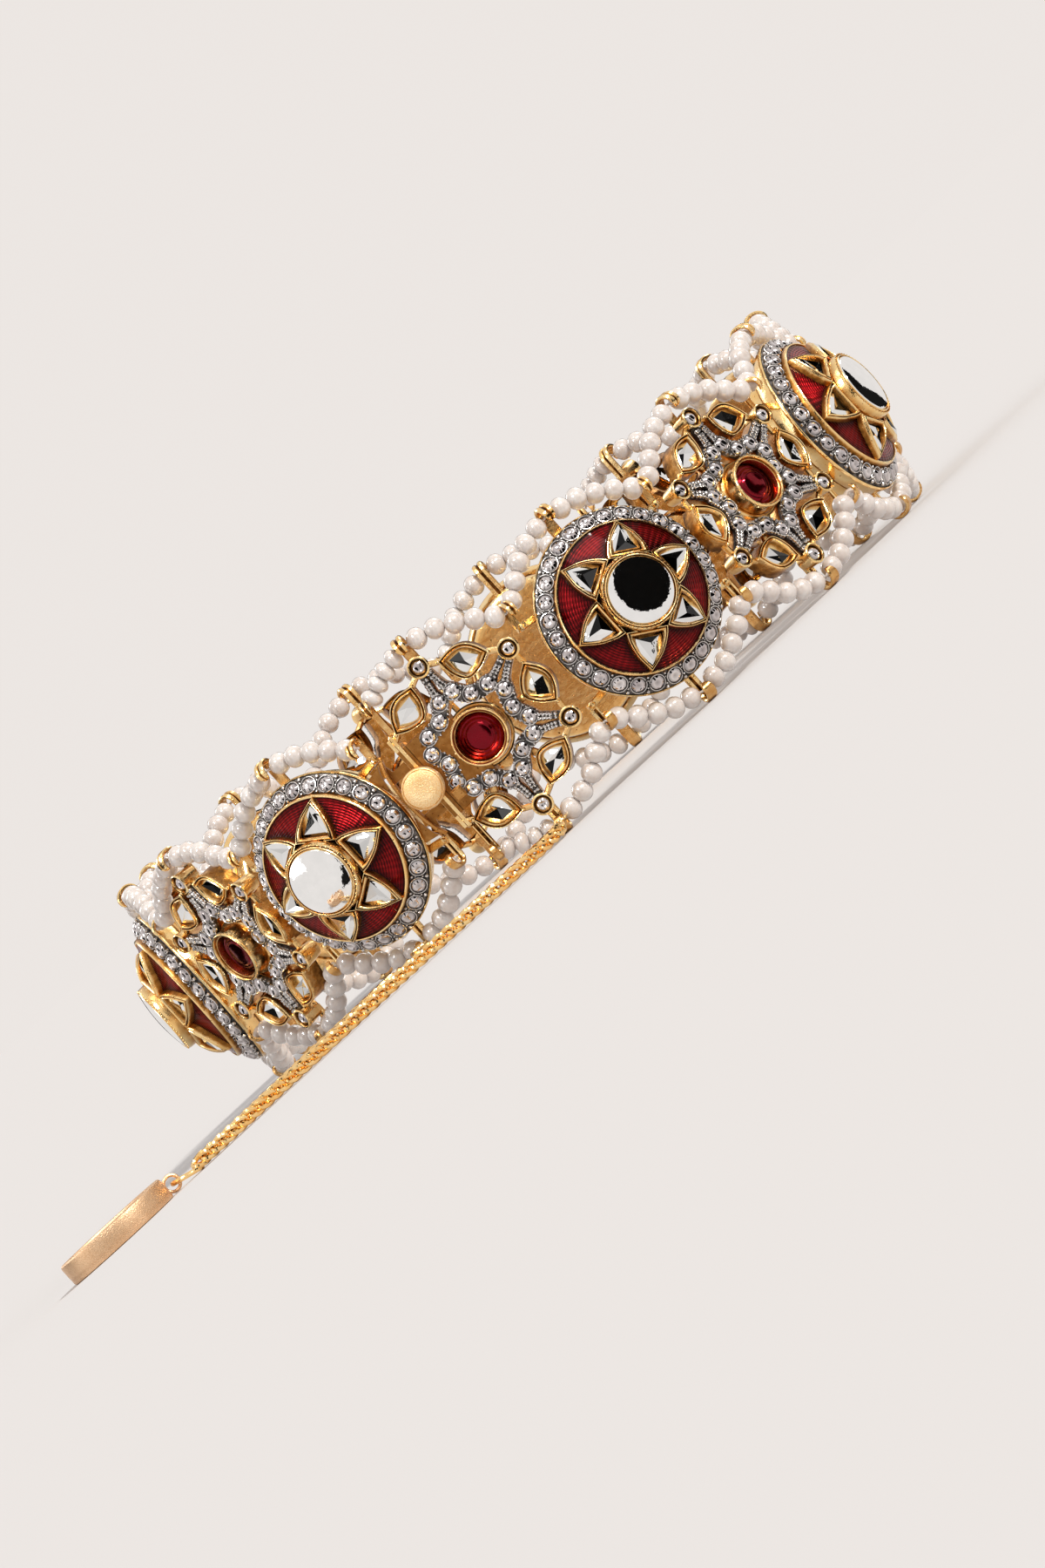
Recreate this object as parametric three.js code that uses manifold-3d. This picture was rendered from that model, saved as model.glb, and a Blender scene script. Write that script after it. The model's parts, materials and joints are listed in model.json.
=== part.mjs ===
// Openable bangle of round jewelled stations, lying on its side on the hooks of its lower edge.
// Millimetres, +Z up. Medallions and florals alternate round the ring; a box clasp with a push
// button joins the two halves in front (-Y), a hinge barrel joins them opposite.
// A station's own frame: x runs along the band, y across it (up when placed), z points out of the ring.

import * as THREE from 'three';
import { mergeVertices } from 'three/addons/utils/BufferGeometryUtils.js';
import Module from 'manifold-3d';

const wasm = await Module();
wasm.setup();

// ---------------------------------------------------------------- driving dimensions

const STATIONS = 14;
const HALF = STATIONS / 2;
const PITCH = (2 * Math.PI) / STATIONS;
const BACK_RADIUS = 30;        // the stations' flat backs lie on this circle, the wrist's side
const SIXTH = Math.PI / 3;     // petals, drops and paved arcs come in sixes
const GAP = 0.3;               // play between separate pieces

const hookLoop = { inner: 0.6, thickness: 0.4, midWidth: 0.9, sideWidth: 0.6, threadHeight: 1.5 };
const HOOK_REACH = (hookLoop.inner + hookLoop.thickness) * Math.cos(Math.PI / 6);
const MID_THREAD_Y = 8.45;     // where the thread runs through a station's middle hook
const JOINT_THREAD_Y = 5.2;    // and through the hooks between two stations
const END_THREAD_Y = 6.75;     // and through the hooks on an end plate
const FLOOR_TO_MIDDLE = MID_THREAD_Y + HOOK_REACH;

const medallion = {
  backRadius: 6.3, rimRadius: 7.0, sideHeight: 2.3, rimHeight: 2.55,
  ringRadius: 5.6, ringHeight: 3.6,
  bezelRadius: 2.85, bezelWall: 0.3, fieldTop: 4.9, seatHeight: 5.5, bezelTop: 6.1,
  petalStart: 2.75, petalHalfWidth: 1.5, petalWide: 3.3, petalTip: 5.45, petalRise: 0.65, petalDepth: 1.2,
  hookRoot: 6.1, armY: 3.6, armRoot: 4.8, armEnd: 7.25, armWidth: 0.6, hookX: 6.95,
  sides: 14,
};
const medallionStone = { thickness: 0.7, tableRadius: 1.7, girdle: 0.3, sides: 10 };

const floral = {
  bottom: 0.7,
  top: 2.2,
  colletOrbit: 6.6, colletRadius: 0.8,
  dropOrbit: 5.8, dropHalfChord: 1.9, dropOuter: 0.95, dropBack: 1.53, dropBackHalf: 0.72,
  cupRadius: 2.3, cupSpread: 78 * Math.PI / 180, crescentSpread: 62 * Math.PI / 180,
  holeNear: 2.3, holeFar: 4.3, holeHalfWidth: 0.75,
  rubyFoot: 2.6, rubyWaist: 2.15, rubyWaistHeight: 2.7, rubyBore: 1.85, rubySeat: 2.2, rubyTop: 3.3,
};
const ruby = { thickness: 0.65, tableRadius: 1.0, girdle: 0.3, sides: 10 };

const endPlate = { x: 5.1, thickness: 0.6, halfLength: 4.15, hookX: 4.85, hookRoot: 3.75, height: 2.15 };
const claspBox = {
  inner: 0.8, halfWidth: 3.1, wallEnd: 0.4, wallSide: 0.4, floor: 0.35, roof: 1.8, height: 2.15, cut: 0.1,
};
const button = {
  x: 5.45, radius: 1.55, bottom: 3.0, top: 4.0, neck: 0.6, foot: 1.2, footBottom: 1.15, footTop: 1.5,
  sides: 12,
};
const tongue = {
  root: 8.6, crescent: 3.4, taper: 1, fork: 1.5, prong: 2.3, forkStart: 6.95, tip: 1.6, bottom: 0.8, top: 1.3,
};
const hinge = { x: 6.5, height: 1.3, radius: 0.75, length: 6, sides: 10 };

// A strand's rows are given in degrees round their station.
const strand = {
  orbit: 8.3, radius: 0.72, thread: 0.15, outer: 45, inner: 84.5, step: 1.5, endOuter: 61, sides: 5,
};
const chain = { radius: 0.55, sides: 8, stepLength: 2.1, start: 0.7, lie: 0.6 };
const charm = { radius: 4.7, thickness: 1.7, rim: 0.8, sink: 0.4, sides: 20 };
const lug = { outer: 0.72, inner: 0.5, thickness: 0.5, offset: 0.5, height: 0.75, sides: 8 };
const charmRing = { radius: 1.2, wire: 0.2, tilt: 12 * Math.PI / 180, sides: 12 };

// ---------------------------------------------------------------- materials

const metal = (color, roughness) => new THREE.MeshStandardMaterial({ color, roughness, metalness: 1 });
const stone = (color, roughness) => new THREE.MeshStandardMaterial({ color, roughness, metalness: 0 });
const GOLD = [0xd9a24a, 0.3];
const BUTTON_GOLD = [0xe8c078, 0.45];
const CHARM_GOLD = [0xc8a074, 0.5];
const CLEAR = [0xe6ecee, 0.05];
const RUBY = [0x7a0a22, 0.1];
const PEARL = [0xf0e4d8, 0.35];

// ---------------------------------------------------------------- solids

function solidOf(geometry) {
  const bare = geometry.clone();
  bare.deleteAttribute('normal');
  bare.deleteAttribute('uv');
  const merged = mergeVertices(bare, 1e-4);
  const corners = merged.index.array;
  const kept = [];
  for (let i = 0; i < corners.length; i += 3) {
    const [a, b, c] = corners.slice(i, i + 3);
    if (a !== b && b !== c && c !== a) kept.push(a, b, c);
  }
  const vertProperties = new Float32Array(merged.attributes.position.array);
  return new wasm.Manifold(new wasm.Mesh({ numProp: 3, vertProperties, triVerts: new Uint32Array(kept) }));
}

function geometryOf(solid) {
  const mesh = solid.getMesh();
  const geometry = new THREE.BufferGeometry();
  geometry.setAttribute('position', new THREE.BufferAttribute(mesh.vertProperties, 3));
  geometry.setIndex(new THREE.BufferAttribute(mesh.triVerts, 1));
  return geometry;
}

const joined = (geometries) => geometries.map(solidOf).reduce((whole, piece) => whole.add(piece));

function turned(profile, sides) {
  const points = profile.map(([radius, height]) => new THREE.Vector2(radius, height));
  return new THREE.LatheGeometry(points, sides).rotateX(Math.PI / 2);
}

function prism(points, bottom, top) {
  const outline = points instanceof THREE.Shape ? points : new THREE.Shape(points);
  const settings = { depth: top - bottom, bevelEnabled: false, curveSegments: 3 };
  return new THREE.ExtrudeGeometry(outline, settings).translate(0, 0, bottom);
}

function block(x0, x1, y0, y1, z0, z1) {
  const box = new THREE.BoxGeometry(x1 - x0, y1 - y0, z1 - z0);
  return box.translate((x0 + x1) / 2, (y0 + y1) / 2, (z0 + z1) / 2);
}

function arc(centreX, centreY, radius, from, to, steps) {
  return Array.from({ length: steps + 1 }, (_, i) => {
    const angle = from + ((to - from) * i) / steps;
    return new THREE.Vector2(centreX + radius * Math.cos(angle), centreY + radius * Math.sin(angle));
  });
}

// Leans a flat piece so that it falls away with its distance along x.
function leaned(geometry, slope) {
  return geometry.applyMatrix4(new THREE.Matrix4().makeShear(0, slope, 0, 0, 0, 0));
}

const sixAround = (make, start = 0) => Array.from({ length: 6 }, (_, i) => make().rotateZ(start + i * SIXTH));

// ---------------------------------------------------------------- hooks

// A strip that runs out under the thread and bends back over it. Three flats make the bend,
// so the outermost one is a level foot.
function hook(x, root, threadY, width) {
  const { inner, thickness, threadHeight } = hookLoop;
  const outer = inner + thickness;
  const quarter = Math.PI / 2;
  const outline = [
    new THREE.Vector2(root, -outer),
    ...arc(threadY, 0, outer, -quarter, quarter, 3),
    ...arc(threadY, 0, inner, quarter, -quarter, 3),
    new THREE.Vector2(root, -inner),
  ];
  const toStation = new THREE.Matrix4().makeBasis(
    new THREE.Vector3(0, 1, 0), new THREE.Vector3(0, 0, 1), new THREE.Vector3(1, 0, 0));
  const strip = prism(outline, -width / 2, width / 2).applyMatrix4(toStation);
  return strip.translate(x, 0, threadHeight);
}

// The same hook on the upper and the lower edge.
function hookPair(x, root, threadY, width) {
  return [hook(x, root, threadY, width), hook(-x, root, threadY, width).rotateZ(Math.PI)];
}

// ---------------------------------------------------------------- medallion

function petal() {
  const m = medallion;
  const outline = [
    [m.petalStart, -m.petalHalfWidth], [m.petalWide, -m.petalHalfWidth], [m.petalTip, 0],
    [m.petalWide, m.petalHalfWidth], [m.petalStart, m.petalHalfWidth],
  ].map(([x, y]) => new THREE.Vector2(x, y));
  const fieldSlope = (m.ringHeight - m.fieldTop) / (m.ringRadius - m.bezelRadius);
  const topAtAxis = m.fieldTop - fieldSlope * m.bezelRadius + m.petalRise;
  return leaned(prism(outline, topAtAxis - m.petalDepth, topAtAxis), fieldSlope);
}

function medallionDrum() {
  const m = medallion;
  const bore = m.bezelRadius - m.bezelWall;
  return turned([
    [0, 0], [m.backRadius, 0], [m.rimRadius, m.sideHeight], [m.rimRadius, m.rimHeight],
    [m.ringRadius, m.ringHeight], [m.bezelRadius, m.fieldTop],
    [m.bezelRadius, m.bezelTop], [bore, m.bezelTop], [bore, m.seatHeight], [0, m.seatHeight],
  ], m.sides);
}

// Side hooks stand on arms that reach from the rim to the junction with the next station.
function medallionHooks() {
  const m = medallion;
  const armTop = hookLoop.threadHeight - hookLoop.inner;
  const armBottom = armTop - hookLoop.thickness;
  const [armLow, armHigh] = [m.armY - m.armWidth / 2, m.armY + m.armWidth / 2];
  const arm = block(m.armRoot, m.armEnd, armLow, armHigh, armBottom, armTop);
  const mirroredArm = block(-m.armEnd, -m.armRoot, armLow, armHigh, armBottom, armTop);
  const arms = [arm, mirroredArm].flatMap((one) => [one.clone(), one.clone().rotateZ(Math.PI)]);
  return [
    ...arms,
    ...hookPair(-m.hookX, m.armY, JOINT_THREAD_Y, hookLoop.sideWidth),
    ...hookPair(0, m.hookRoot, MID_THREAD_Y, hookLoop.midWidth),
    ...hookPair(m.hookX, m.armY, JOINT_THREAD_Y, hookLoop.sideWidth),
  ];
}

// A fork that leaves the first medallion and lies in the clasp box of the floral beside it.
// It is drawn in the floral's frame and turned into the medallion's.
function claspTongue() {
  const t = tongue;
  const outline = [
    new THREE.Vector2(-t.root, -t.crescent + t.taper), new THREE.Vector2(-t.forkStart, -t.crescent),
    new THREE.Vector2(-t.forkStart + GAP, -t.prong), new THREE.Vector2(-t.tip, -t.prong),
    new THREE.Vector2(-t.tip, -t.fork), new THREE.Vector2(-t.forkStart, -t.fork),
    new THREE.Vector2(-t.forkStart, t.fork), new THREE.Vector2(-t.tip, t.fork),
    new THREE.Vector2(-t.tip, t.prong), new THREE.Vector2(-t.forkStart + GAP, t.prong),
    new THREE.Vector2(-t.forkStart, t.crescent), new THREE.Vector2(-t.root, t.crescent - t.taper),
  ];
  const fork = prism(outline, t.bottom, t.top);
  return fork.translate(0, 0, BACK_RADIUS).rotateY(PITCH).translate(0, 0, -BACK_RADIUS);
}

function medallionSetting(index) {
  const pieces = [medallionDrum(), ...sixAround(petal), ...medallionHooks()];
  if (index === 0) pieces.push(claspTongue());
  return geometryOf(joined(pieces));
}

function medallionCentre() {
  const m = medallion;
  const s = medallionStone;
  const radius = m.bezelRadius - m.bezelWall - GAP;
  const bottom = m.seatHeight + GAP;
  return turned([
    [0, bottom], [radius, bottom], [radius, bottom + s.girdle],
    [s.tableRadius, bottom + s.thickness], [0, bottom + s.thickness],
  ], s.sides);
}

// ---------------------------------------------------------------- floral

const turnedPoints = (points, angle) => points.map((point) => point.rotateAround(new THREE.Vector2(), angle));

// The openwork seen from outside: drops and collets round the edge, and between them and the ruby
// six paved arcs that cup the drops. A side that closes with an end plate has no drop or collets.
function openwork(stays) {
  const f = floral;
  const dropEdge = [[0, -f.dropHalfChord], [f.dropOuter, 0], [0, f.dropHalfChord]]
    .map(([x, y]) => [f.dropOrbit + x, y]);
  const backX = f.dropOrbit - f.dropBack;
  const dropBack = [[backX, -f.dropBackHalf], [backX, f.dropBackHalf]];
  const holeCorners = [[f.holeNear, -f.holeHalfWidth], [f.holeFar, 0], [f.holeNear, f.holeHalfWidth]];
  const points = (corners) => corners.map(([x, y]) => new THREE.Vector2(x, y));
  const outline = [];
  const holes = [];
  for (let i = 0; i < 6; i += 1) {
    const angle = i * SIXTH;
    const between = angle + SIXTH / 2;
    const hollow = (spread) => arc(f.dropOrbit, 0, f.cupRadius, Math.PI + spread, Math.PI - spread, 3);
    const cup = hollow(f.cupSpread);
    outline.push(...turnedPoints(stays(angle) ? points(dropEdge) : cup, angle));
    const colletEdge = arc(f.colletOrbit, 0, f.colletRadius, -SIXTH, SIXTH, 2);
    if (stays(between)) outline.push(...turnedPoints(colletEdge, between));
    const crescent = [...hollow(f.crescentSpread), ...points(dropBack).reverse()];
    if (stays(angle)) holes.push(turnedPoints(crescent, angle));
    holes.push(turnedPoints(points(holeCorners), between));
  }
  const shape = new THREE.Shape(outline);
  shape.holes = holes.map((hole) => new THREE.Path(hole));
  return prism(shape, f.bottom, f.top);
}

function rubyCollet() {
  const f = floral;
  return turned([
    [0, f.bottom], [f.rubyFoot, f.bottom], [f.rubyWaist, f.rubyWaistHeight], [f.rubyWaist, f.rubyTop],
    [f.rubyBore, f.rubyTop], [f.rubyBore, f.rubySeat], [0, f.rubySeat],
  ], ruby.sides);
}

// The plate that closes a floral where it meets the clasp or the hinge, with a hook at each end.
function endPieces(side) {
  const p = endPlate;
  const plate = block(side * p.x - p.thickness / 2, side * p.x + p.thickness / 2, -p.halfLength, p.halfLength,
    0, p.height);
  return [plate, ...hookPair(side * p.hookX, p.hookRoot, END_THREAD_Y, hookLoop.sideWidth)];
}

function claspBoxBody() {
  const b = claspBox;
  return block(-endPlate.x, -b.inner, -b.halfWidth, b.halfWidth, 0, b.height);
}

// The hollow for the tongue, and the slot in the roof for the button's neck.
function claspBoxHollow() {
  const b = claspBox;
  const mouth = -endPlate.x - endPlate.thickness;
  const room = block(mouth, -b.inner - b.wallEnd, -b.halfWidth + b.wallSide, b.halfWidth - b.wallSide,
    b.floor, b.roof);
  const slotHalf = button.neck + GAP;
  const slot = block(mouth, -button.x + slotHalf, -slotHalf, slotHalf, b.roof - b.cut, button.bottom);
  return joined([room, slot]);
}

function floralSetting(index) {
  const side = index === 1 ? -1 : index === HALF ? 1 : 0;
  const stays = (angle) => Math.cos(angle) * side < 0.8;
  const pieces = [rubyCollet(), openwork(stays)];
  pieces.push(...hookPair(0, floral.colletOrbit, MID_THREAD_Y, hookLoop.midWidth));
  if (side) pieces.push(...endPieces(side));
  if (side < 0) return geometryOf(joined([...pieces, claspBoxBody()]).subtract(claspBoxHollow()));
  return geometryOf(joined(pieces));
}

function rubyStone() {
  const f = floral;
  const radius = f.rubyBore - GAP;
  const bottom = f.rubySeat + GAP;
  return turned([
    [0, bottom], [radius, bottom], [radius, bottom + ruby.girdle],
    [ruby.tableRadius, bottom + ruby.thickness], [0, bottom + ruby.thickness],
  ], ruby.sides);
}

// ---------------------------------------------------------------- clasp button and hinge

function claspButton() {
  const b = button;
  return turned([
    [0, b.footBottom], [b.foot, b.footBottom], [b.foot, b.footTop], [b.neck, b.footTop],
    [b.neck, b.bottom], [b.radius, b.bottom], [b.radius, b.top], [0, b.top],
  ], b.sides).translate(-b.x, 0, 0);
}

function hingeBarrel() {
  const h = hinge;
  return new THREE.CylinderGeometry(h.radius, h.radius, h.length, h.sides).translate(h.x, 0, h.height);
}

// ---------------------------------------------------------------- placing on the ring

const stationAngle = (index) => (index - 0.5) * PITCH;

function stationFrame(index) {
  const turn = new THREE.Group();
  const stand = new THREE.Group();
  turn.rotation.z = stationAngle(index);
  stand.rotation.x = Math.PI / 2;
  stand.position.set(0, -BACK_RADIUS, FLOOR_TO_MIDDLE);
  turn.add(stand);
  turn.updateMatrixWorld(true);
  return { turn, stand };
}

function stationPoint(index, x, y, height) {
  return new THREE.Vector3(x, y, height).applyMatrix4(stationFrame(index).stand.matrixWorld);
}

// ---------------------------------------------------------------- pearl strands

// One station's rows from its middle hook out to one side: a place on the strand and its radius there.
function strandRows(index, side, edge, endsHere, plated) {
  const s = strand;
  const row = (degrees, radius) => {
    const angle = (degrees * Math.PI) / 180;
    return { x: side * s.orbit * Math.cos(angle), y: edge * s.orbit * Math.sin(angle), radius };
  };
  const outer = plated ? s.endOuter : s.outer;
  const joint = (BACK_RADIUS + hookLoop.threadHeight) * Math.tan(PITCH / 2);
  const last = plated ? { x: side * endPlate.hookX, y: edge * END_THREAD_Y }
    : { x: side * (joint - (endsHere ? GAP / 2 : 0)), y: edge * JOINT_THREAD_Y };
  const rows = [row(s.inner + s.step, s.thread)];
  for (let i = 0; i <= 2; i += 1) rows.push(row(s.inner + ((outer - s.inner) * i) / 2, s.radius));
  rows.push(row(outer - s.step, s.thread), { ...last, radius: s.thread });
  return rows.map(({ x, y, radius }) => ({
    position: stationPoint(index, x, y, hookLoop.threadHeight),
    out: stationPoint(index, x, y, hookLoop.threadHeight + 1),
    radius,
  }));
}

function strandOver(indices, edge) {
  const rows = [];
  indices.forEach((index, i) => {
    const first = i === 0;
    const final = i === indices.length - 1;
    const left = strandRows(index, -1, edge, first, index === 1).reverse();
    const right = strandRows(index, 1, edge, final, index === HALF);
    if (!first) left.shift();
    const middle = stationPoint(index, 0, edge * MID_THREAD_Y, hookLoop.threadHeight);
    const out = stationPoint(index, 0, edge * MID_THREAD_Y, hookLoop.threadHeight + 1);
    rows.push(...left, { position: middle, out, radius: strand.thread }, ...right);
  });
  return sweptRows(rows, strand.sides);
}

// A closed body through round rows of their own radius.
function sweptRows(rows, sides) {
  const corners = [];
  rows.forEach(({ position, out, radius }, i) => {
    const before = rows[Math.max(i - 1, 0)].position;
    const after = rows[Math.min(i + 1, rows.length - 1)].position;
    const along = after.clone().sub(before).normalize();
    const across = along.clone().cross(out.clone().sub(position)).normalize();
    const up = across.clone().cross(along);
    for (let j = 0; j < sides; j += 1) {
      const angle = ((j + 0.5) * 2 * Math.PI) / sides;
      const corner = position.clone().addScaledVector(across, radius * Math.cos(angle));
      corners.push(...corner.addScaledVector(up, radius * Math.sin(angle)).toArray());
    }
  });
  const faces = [];
  for (let i = 0; i < rows.length - 1; i += 1) {
    for (let j = 0; j < sides; j += 1) {
      const [a, b] = [i * sides + j, i * sides + ((j + 1) % sides)];
      faces.push(a, a + sides, b, b, a + sides, b + sides);
    }
  }
  const end = (rows.length - 1) * sides;
  for (let j = 1; j < sides - 1; j += 1) {
    faces.push(0, j, j + 1);
    faces.push(end, end + j + 1, end + j);
  }
  const geometry = new THREE.BufferGeometry();
  geometry.setAttribute('position', new THREE.Float32BufferAttribute(corners, 3));
  geometry.setIndex(faces);
  return geometry;
}

// ---------------------------------------------------------------- chain and charm

const HOOK_FACE = BACK_RADIUS + hookLoop.threadHeight + hookLoop.inner + hookLoop.thickness;
const ringPlace = new THREE.Vector3(-23.8, -52.2, 0);
const charmDirection = new THREE.Vector3(-0.879, -0.477, 0).normalize();  // from its ring to the disc

// A hook's mouth, where a run of chain starts just clear of the loop.
function chainStart(index) {
  const angle = stationAngle(index);
  const radius = HOOK_FACE + GAP + chain.radius;
  return new THREE.Vector3(radius * Math.sin(angle), -radius * Math.cos(angle), chain.start);
}

// Where the two runs lie on the surface, from their hooks to the charm's ring.
const shortRun = [
  [-7.8, -34.7], [-9.6, -37.8], [-12.6, -41.5], [-16.2, -45.5], [-19.6, -48.7], [-22.5, -50.8],
];
const longRun = [
  [7.7, -34.7], [5.8, -37.5], [1.4, -40.2], [-3.8, -42.3],
  [-9.4, -44.7], [-14.4, -47.4], [-18.6, -50.0], [-21.9, -52.1],
];

function chainRun(index, floorPoints) {
  const route = [chainStart(index), ...floorPoints.map(([x, y]) => new THREE.Vector3(x, y, chain.lie))];
  const path = new THREE.CatmullRomCurve3(route);
  const section = new THREE.Shape(arc(0, 0, chain.radius, 0, 2 * Math.PI, chain.sides).slice(0, -1));
  const steps = Math.round(path.getLength() / chain.stepLength);
  return new THREE.ExtrudeGeometry(section, { extrudePath: path, steps, bevelEnabled: false });
}

function charmDisc() {
  const c = charm;
  const disc = turned([
    [0, c.sink], [c.radius - c.rim, c.sink], [c.radius - c.rim, 0], [c.radius, 0], [c.radius, c.thickness],
    [c.radius - c.rim, c.thickness], [c.radius - c.rim, c.thickness - c.sink], [0, c.thickness - c.sink],
  ], c.sides);
  const eye = new THREE.Shape(arc(0, 0, lug.outer, 0, 2 * Math.PI, lug.sides).slice(0, -1));
  eye.holes.push(new THREE.Path(arc(0, 0, lug.inner, 0, 2 * Math.PI, lug.sides).slice(0, -1)));
  const loop = prism(eye, -lug.thickness / 2, lug.thickness / 2).rotateX(Math.PI / 2);
  loop.translate(c.radius + lug.offset, 0, lug.height);
  return geometryOf(joined([disc, loop]));
}

function charmRingBody() {
  const r = charmRing;
  const wire = arc(r.radius, 0, r.wire, 0, 2 * Math.PI, 5).map(({ x, y }) => [x, y]);
  wire[wire.length - 1] = wire[0];
  return turned(wire, r.sides).rotateY(r.tilt);
}

// ---------------------------------------------------------------- the bangle

const bangle = new THREE.Group();

function add(parent, name, geometry, material) {
  const mesh = new THREE.Mesh(geometry, material);
  mesh.name = name;
  parent.add(mesh);
  return mesh;
}

const two = (number) => String(number).padStart(2, '0');

for (let index = 0; index < STATIONS; index += 1) {
  const { turn, stand } = stationFrame(index);
  const number = two(Math.floor(index / 2) + 1);
  if (index % 2 === 0) {
    add(stand, `medallion_setting_${number}`, medallionSetting(index), metal(...GOLD));
    add(stand, `medallion_stone_${number}`, medallionCentre(), stone(...CLEAR));
  } else {
    add(stand, `floral_setting_${number}`, floralSetting(index), metal(...GOLD));
    add(stand, `ruby_${number}`, rubyStone(), stone(...RUBY));
  }
  if (index === 1) add(stand, 'clasp_button', claspButton(), metal(...BUTTON_GOLD));
  if (index === HALF) add(stand, 'hinge_barrel', hingeBarrel(), metal(...GOLD));
  bangle.add(turn);
}

// Each half of the ring carries its own strands, two stations to a strand and the last on its own.
const halves = [1, HALF + 1].map((start) => [0, 2, 4, 6].map((i) => (
  i < HALF - 1 ? [start + i, start + i + 1] : [start + i])));
halves.flat().forEach((stations, i) => {
  add(bangle, `pearl_strand_top_${two(i + 1)}`, strandOver(stations, 1), stone(...PEARL));
  add(bangle, `pearl_strand_bottom_${two(i + 1)}`, strandOver(stations, -1), stone(...PEARL));
});

add(bangle, 'safety_chain_short', chainRun(0, shortRun), metal(...GOLD));
add(bangle, 'safety_chain_long', chainRun(1, longRun), metal(...GOLD));

const ringDrop = charmRing.radius * Math.sin(charmRing.tilt);
const ring = add(bangle, 'charm_ring', charmRingBody(), metal(...GOLD));
ring.position.copy(ringPlace).setZ(charmRing.wire + ringDrop);
ring.rotation.z = Math.atan2(-charmDirection.y, -charmDirection.x);
const disc = add(bangle, 'charm_disc', charmDisc(), metal(...CHARM_GOLD));
disc.position.copy(ringPlace).addScaledVector(charmDirection, charmRing.radius + charm.radius + lug.offset);
disc.rotation.z = ring.rotation.z;

// The origin is the middle of everything's footprint, on the surface that it lies on.
const bounds = new THREE.Box3().setFromObject(bangle, true);
const middle = bounds.getCenter(new THREE.Vector3());
bangle.position.set(-middle.x, -middle.y, -bounds.min.z);

export default bangle;
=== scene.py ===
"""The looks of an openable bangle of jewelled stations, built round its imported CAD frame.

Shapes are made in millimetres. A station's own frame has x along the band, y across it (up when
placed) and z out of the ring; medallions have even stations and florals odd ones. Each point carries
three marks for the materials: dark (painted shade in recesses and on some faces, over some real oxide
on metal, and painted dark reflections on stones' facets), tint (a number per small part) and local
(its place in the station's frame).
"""

import json
import random
from collections import defaultdict
from functools import cached_property
from math import atan, cos, pi, radians, sin, tan

import bpy
import numpy as np
from mathutils import Matrix


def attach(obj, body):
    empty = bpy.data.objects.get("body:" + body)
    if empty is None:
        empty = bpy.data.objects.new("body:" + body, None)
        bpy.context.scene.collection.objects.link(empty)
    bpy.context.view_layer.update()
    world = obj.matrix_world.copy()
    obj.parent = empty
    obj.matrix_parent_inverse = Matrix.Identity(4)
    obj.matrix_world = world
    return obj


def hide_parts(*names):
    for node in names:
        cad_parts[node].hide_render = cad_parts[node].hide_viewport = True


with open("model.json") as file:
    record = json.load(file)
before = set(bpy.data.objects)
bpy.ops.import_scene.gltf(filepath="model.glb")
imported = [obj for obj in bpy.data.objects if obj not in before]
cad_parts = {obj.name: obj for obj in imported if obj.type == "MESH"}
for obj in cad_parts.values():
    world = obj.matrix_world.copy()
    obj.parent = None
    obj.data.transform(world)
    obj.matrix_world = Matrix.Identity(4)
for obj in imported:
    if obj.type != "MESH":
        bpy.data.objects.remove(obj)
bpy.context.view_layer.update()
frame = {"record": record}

# ---- driving dimensions

MM = 0.001
UP = (0.0, 0.0, 1.0)
FULL_TURN = 2 * pi
SIXTH = pi / 3
STATIONS = 14
HALF = STATIONS // 2
PITCH = FULL_TURN / STATIONS
BACK_RADIUS = 30.0
THREAD_HEIGHT = 1.5         # the threads' height over the stations' backs
MID_THREAD, JOINT_THREAD, END_THREAD = 8.45, 5.2, 6.75      # their y at hooks, joints and end plates
HOOK_REACH = 0.866          # from a thread to the outside of its hook
MIDDLE_HEIGHT = MID_THREAD + HOOK_REACH
JOINT_X = (BACK_RADIUS + THREAD_HEIGHT) * tan(PITCH / 2)
PLATE_HOOK_X = 4.85
END_SIDES = {1: -1, HALF: 1}        # the florals at the clasp and the hinge, and the side cut short

wrist_low, wrist_high = frame["record"]["physics"]["openings"][0]["box_m"]
RING_X, RING_Y = ((low + high) / 2 / MM for low, high in zip(wrist_low[:2], wrist_high[:2]))

rng = random.Random(14)

# ---- mesh tools


class Shape:
    """Faces between points that become one piece or are stamped into another. A point's row holds its
    x, y and z, its local x, y and z, its dark and its tint."""

    def __init__(self):
        self.blocks, self.faces, self.smooth = [], [], []
        self.size = 0

    @property
    def rows(self):
        return np.concatenate(self.blocks)

    def add(self, points, faces, dark=0.0, tint=0.0, smooth=True, turn_out=True):
        points = np.asarray(points, float)
        if turn_out and volume(points, faces) < 0:
            faces = [face[::-1] for face in faces]
        dark, tint = (np.broadcast_to(mark, (len(points),)) for mark in (dark, tint))
        rows = np.column_stack([points, points, dark, tint])
        return self.join(rows, faces, [smooth] * len(faces))

    def stamp(self, other, matrix, tint=None, keep_local=True):
        """Adds another shape moved by a 4 by 4 matrix."""
        rows = other.rows
        rows[:, :3] = moved(matrix, rows[:, :3])
        if not keep_local:
            rows[:, 3:6] = rows[:, :3]
        if tint is not None:
            rows[:, 7] = tint
        return self.join(rows, other.faces, other.smooth)

    def join(self, rows, faces, smooth):
        self.blocks.append(rows)
        self.faces.extend(tuple(index + self.size for index in face) for face in faces)
        self.smooth.extend(smooth)
        self.size += len(rows)
        return self


def volume(points, faces):
    """Six times the signed volume inside the faces, seen from the points' middle."""
    triangles = [(face[0], face[i], face[i + 1]) for face in faces for i in range(1, len(face) - 1)]
    a, b, c = (points[list(column)] - points.mean(0) for column in zip(*triangles))
    return float(np.einsum("ij,ij->", a, np.cross(b, c)))


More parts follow.
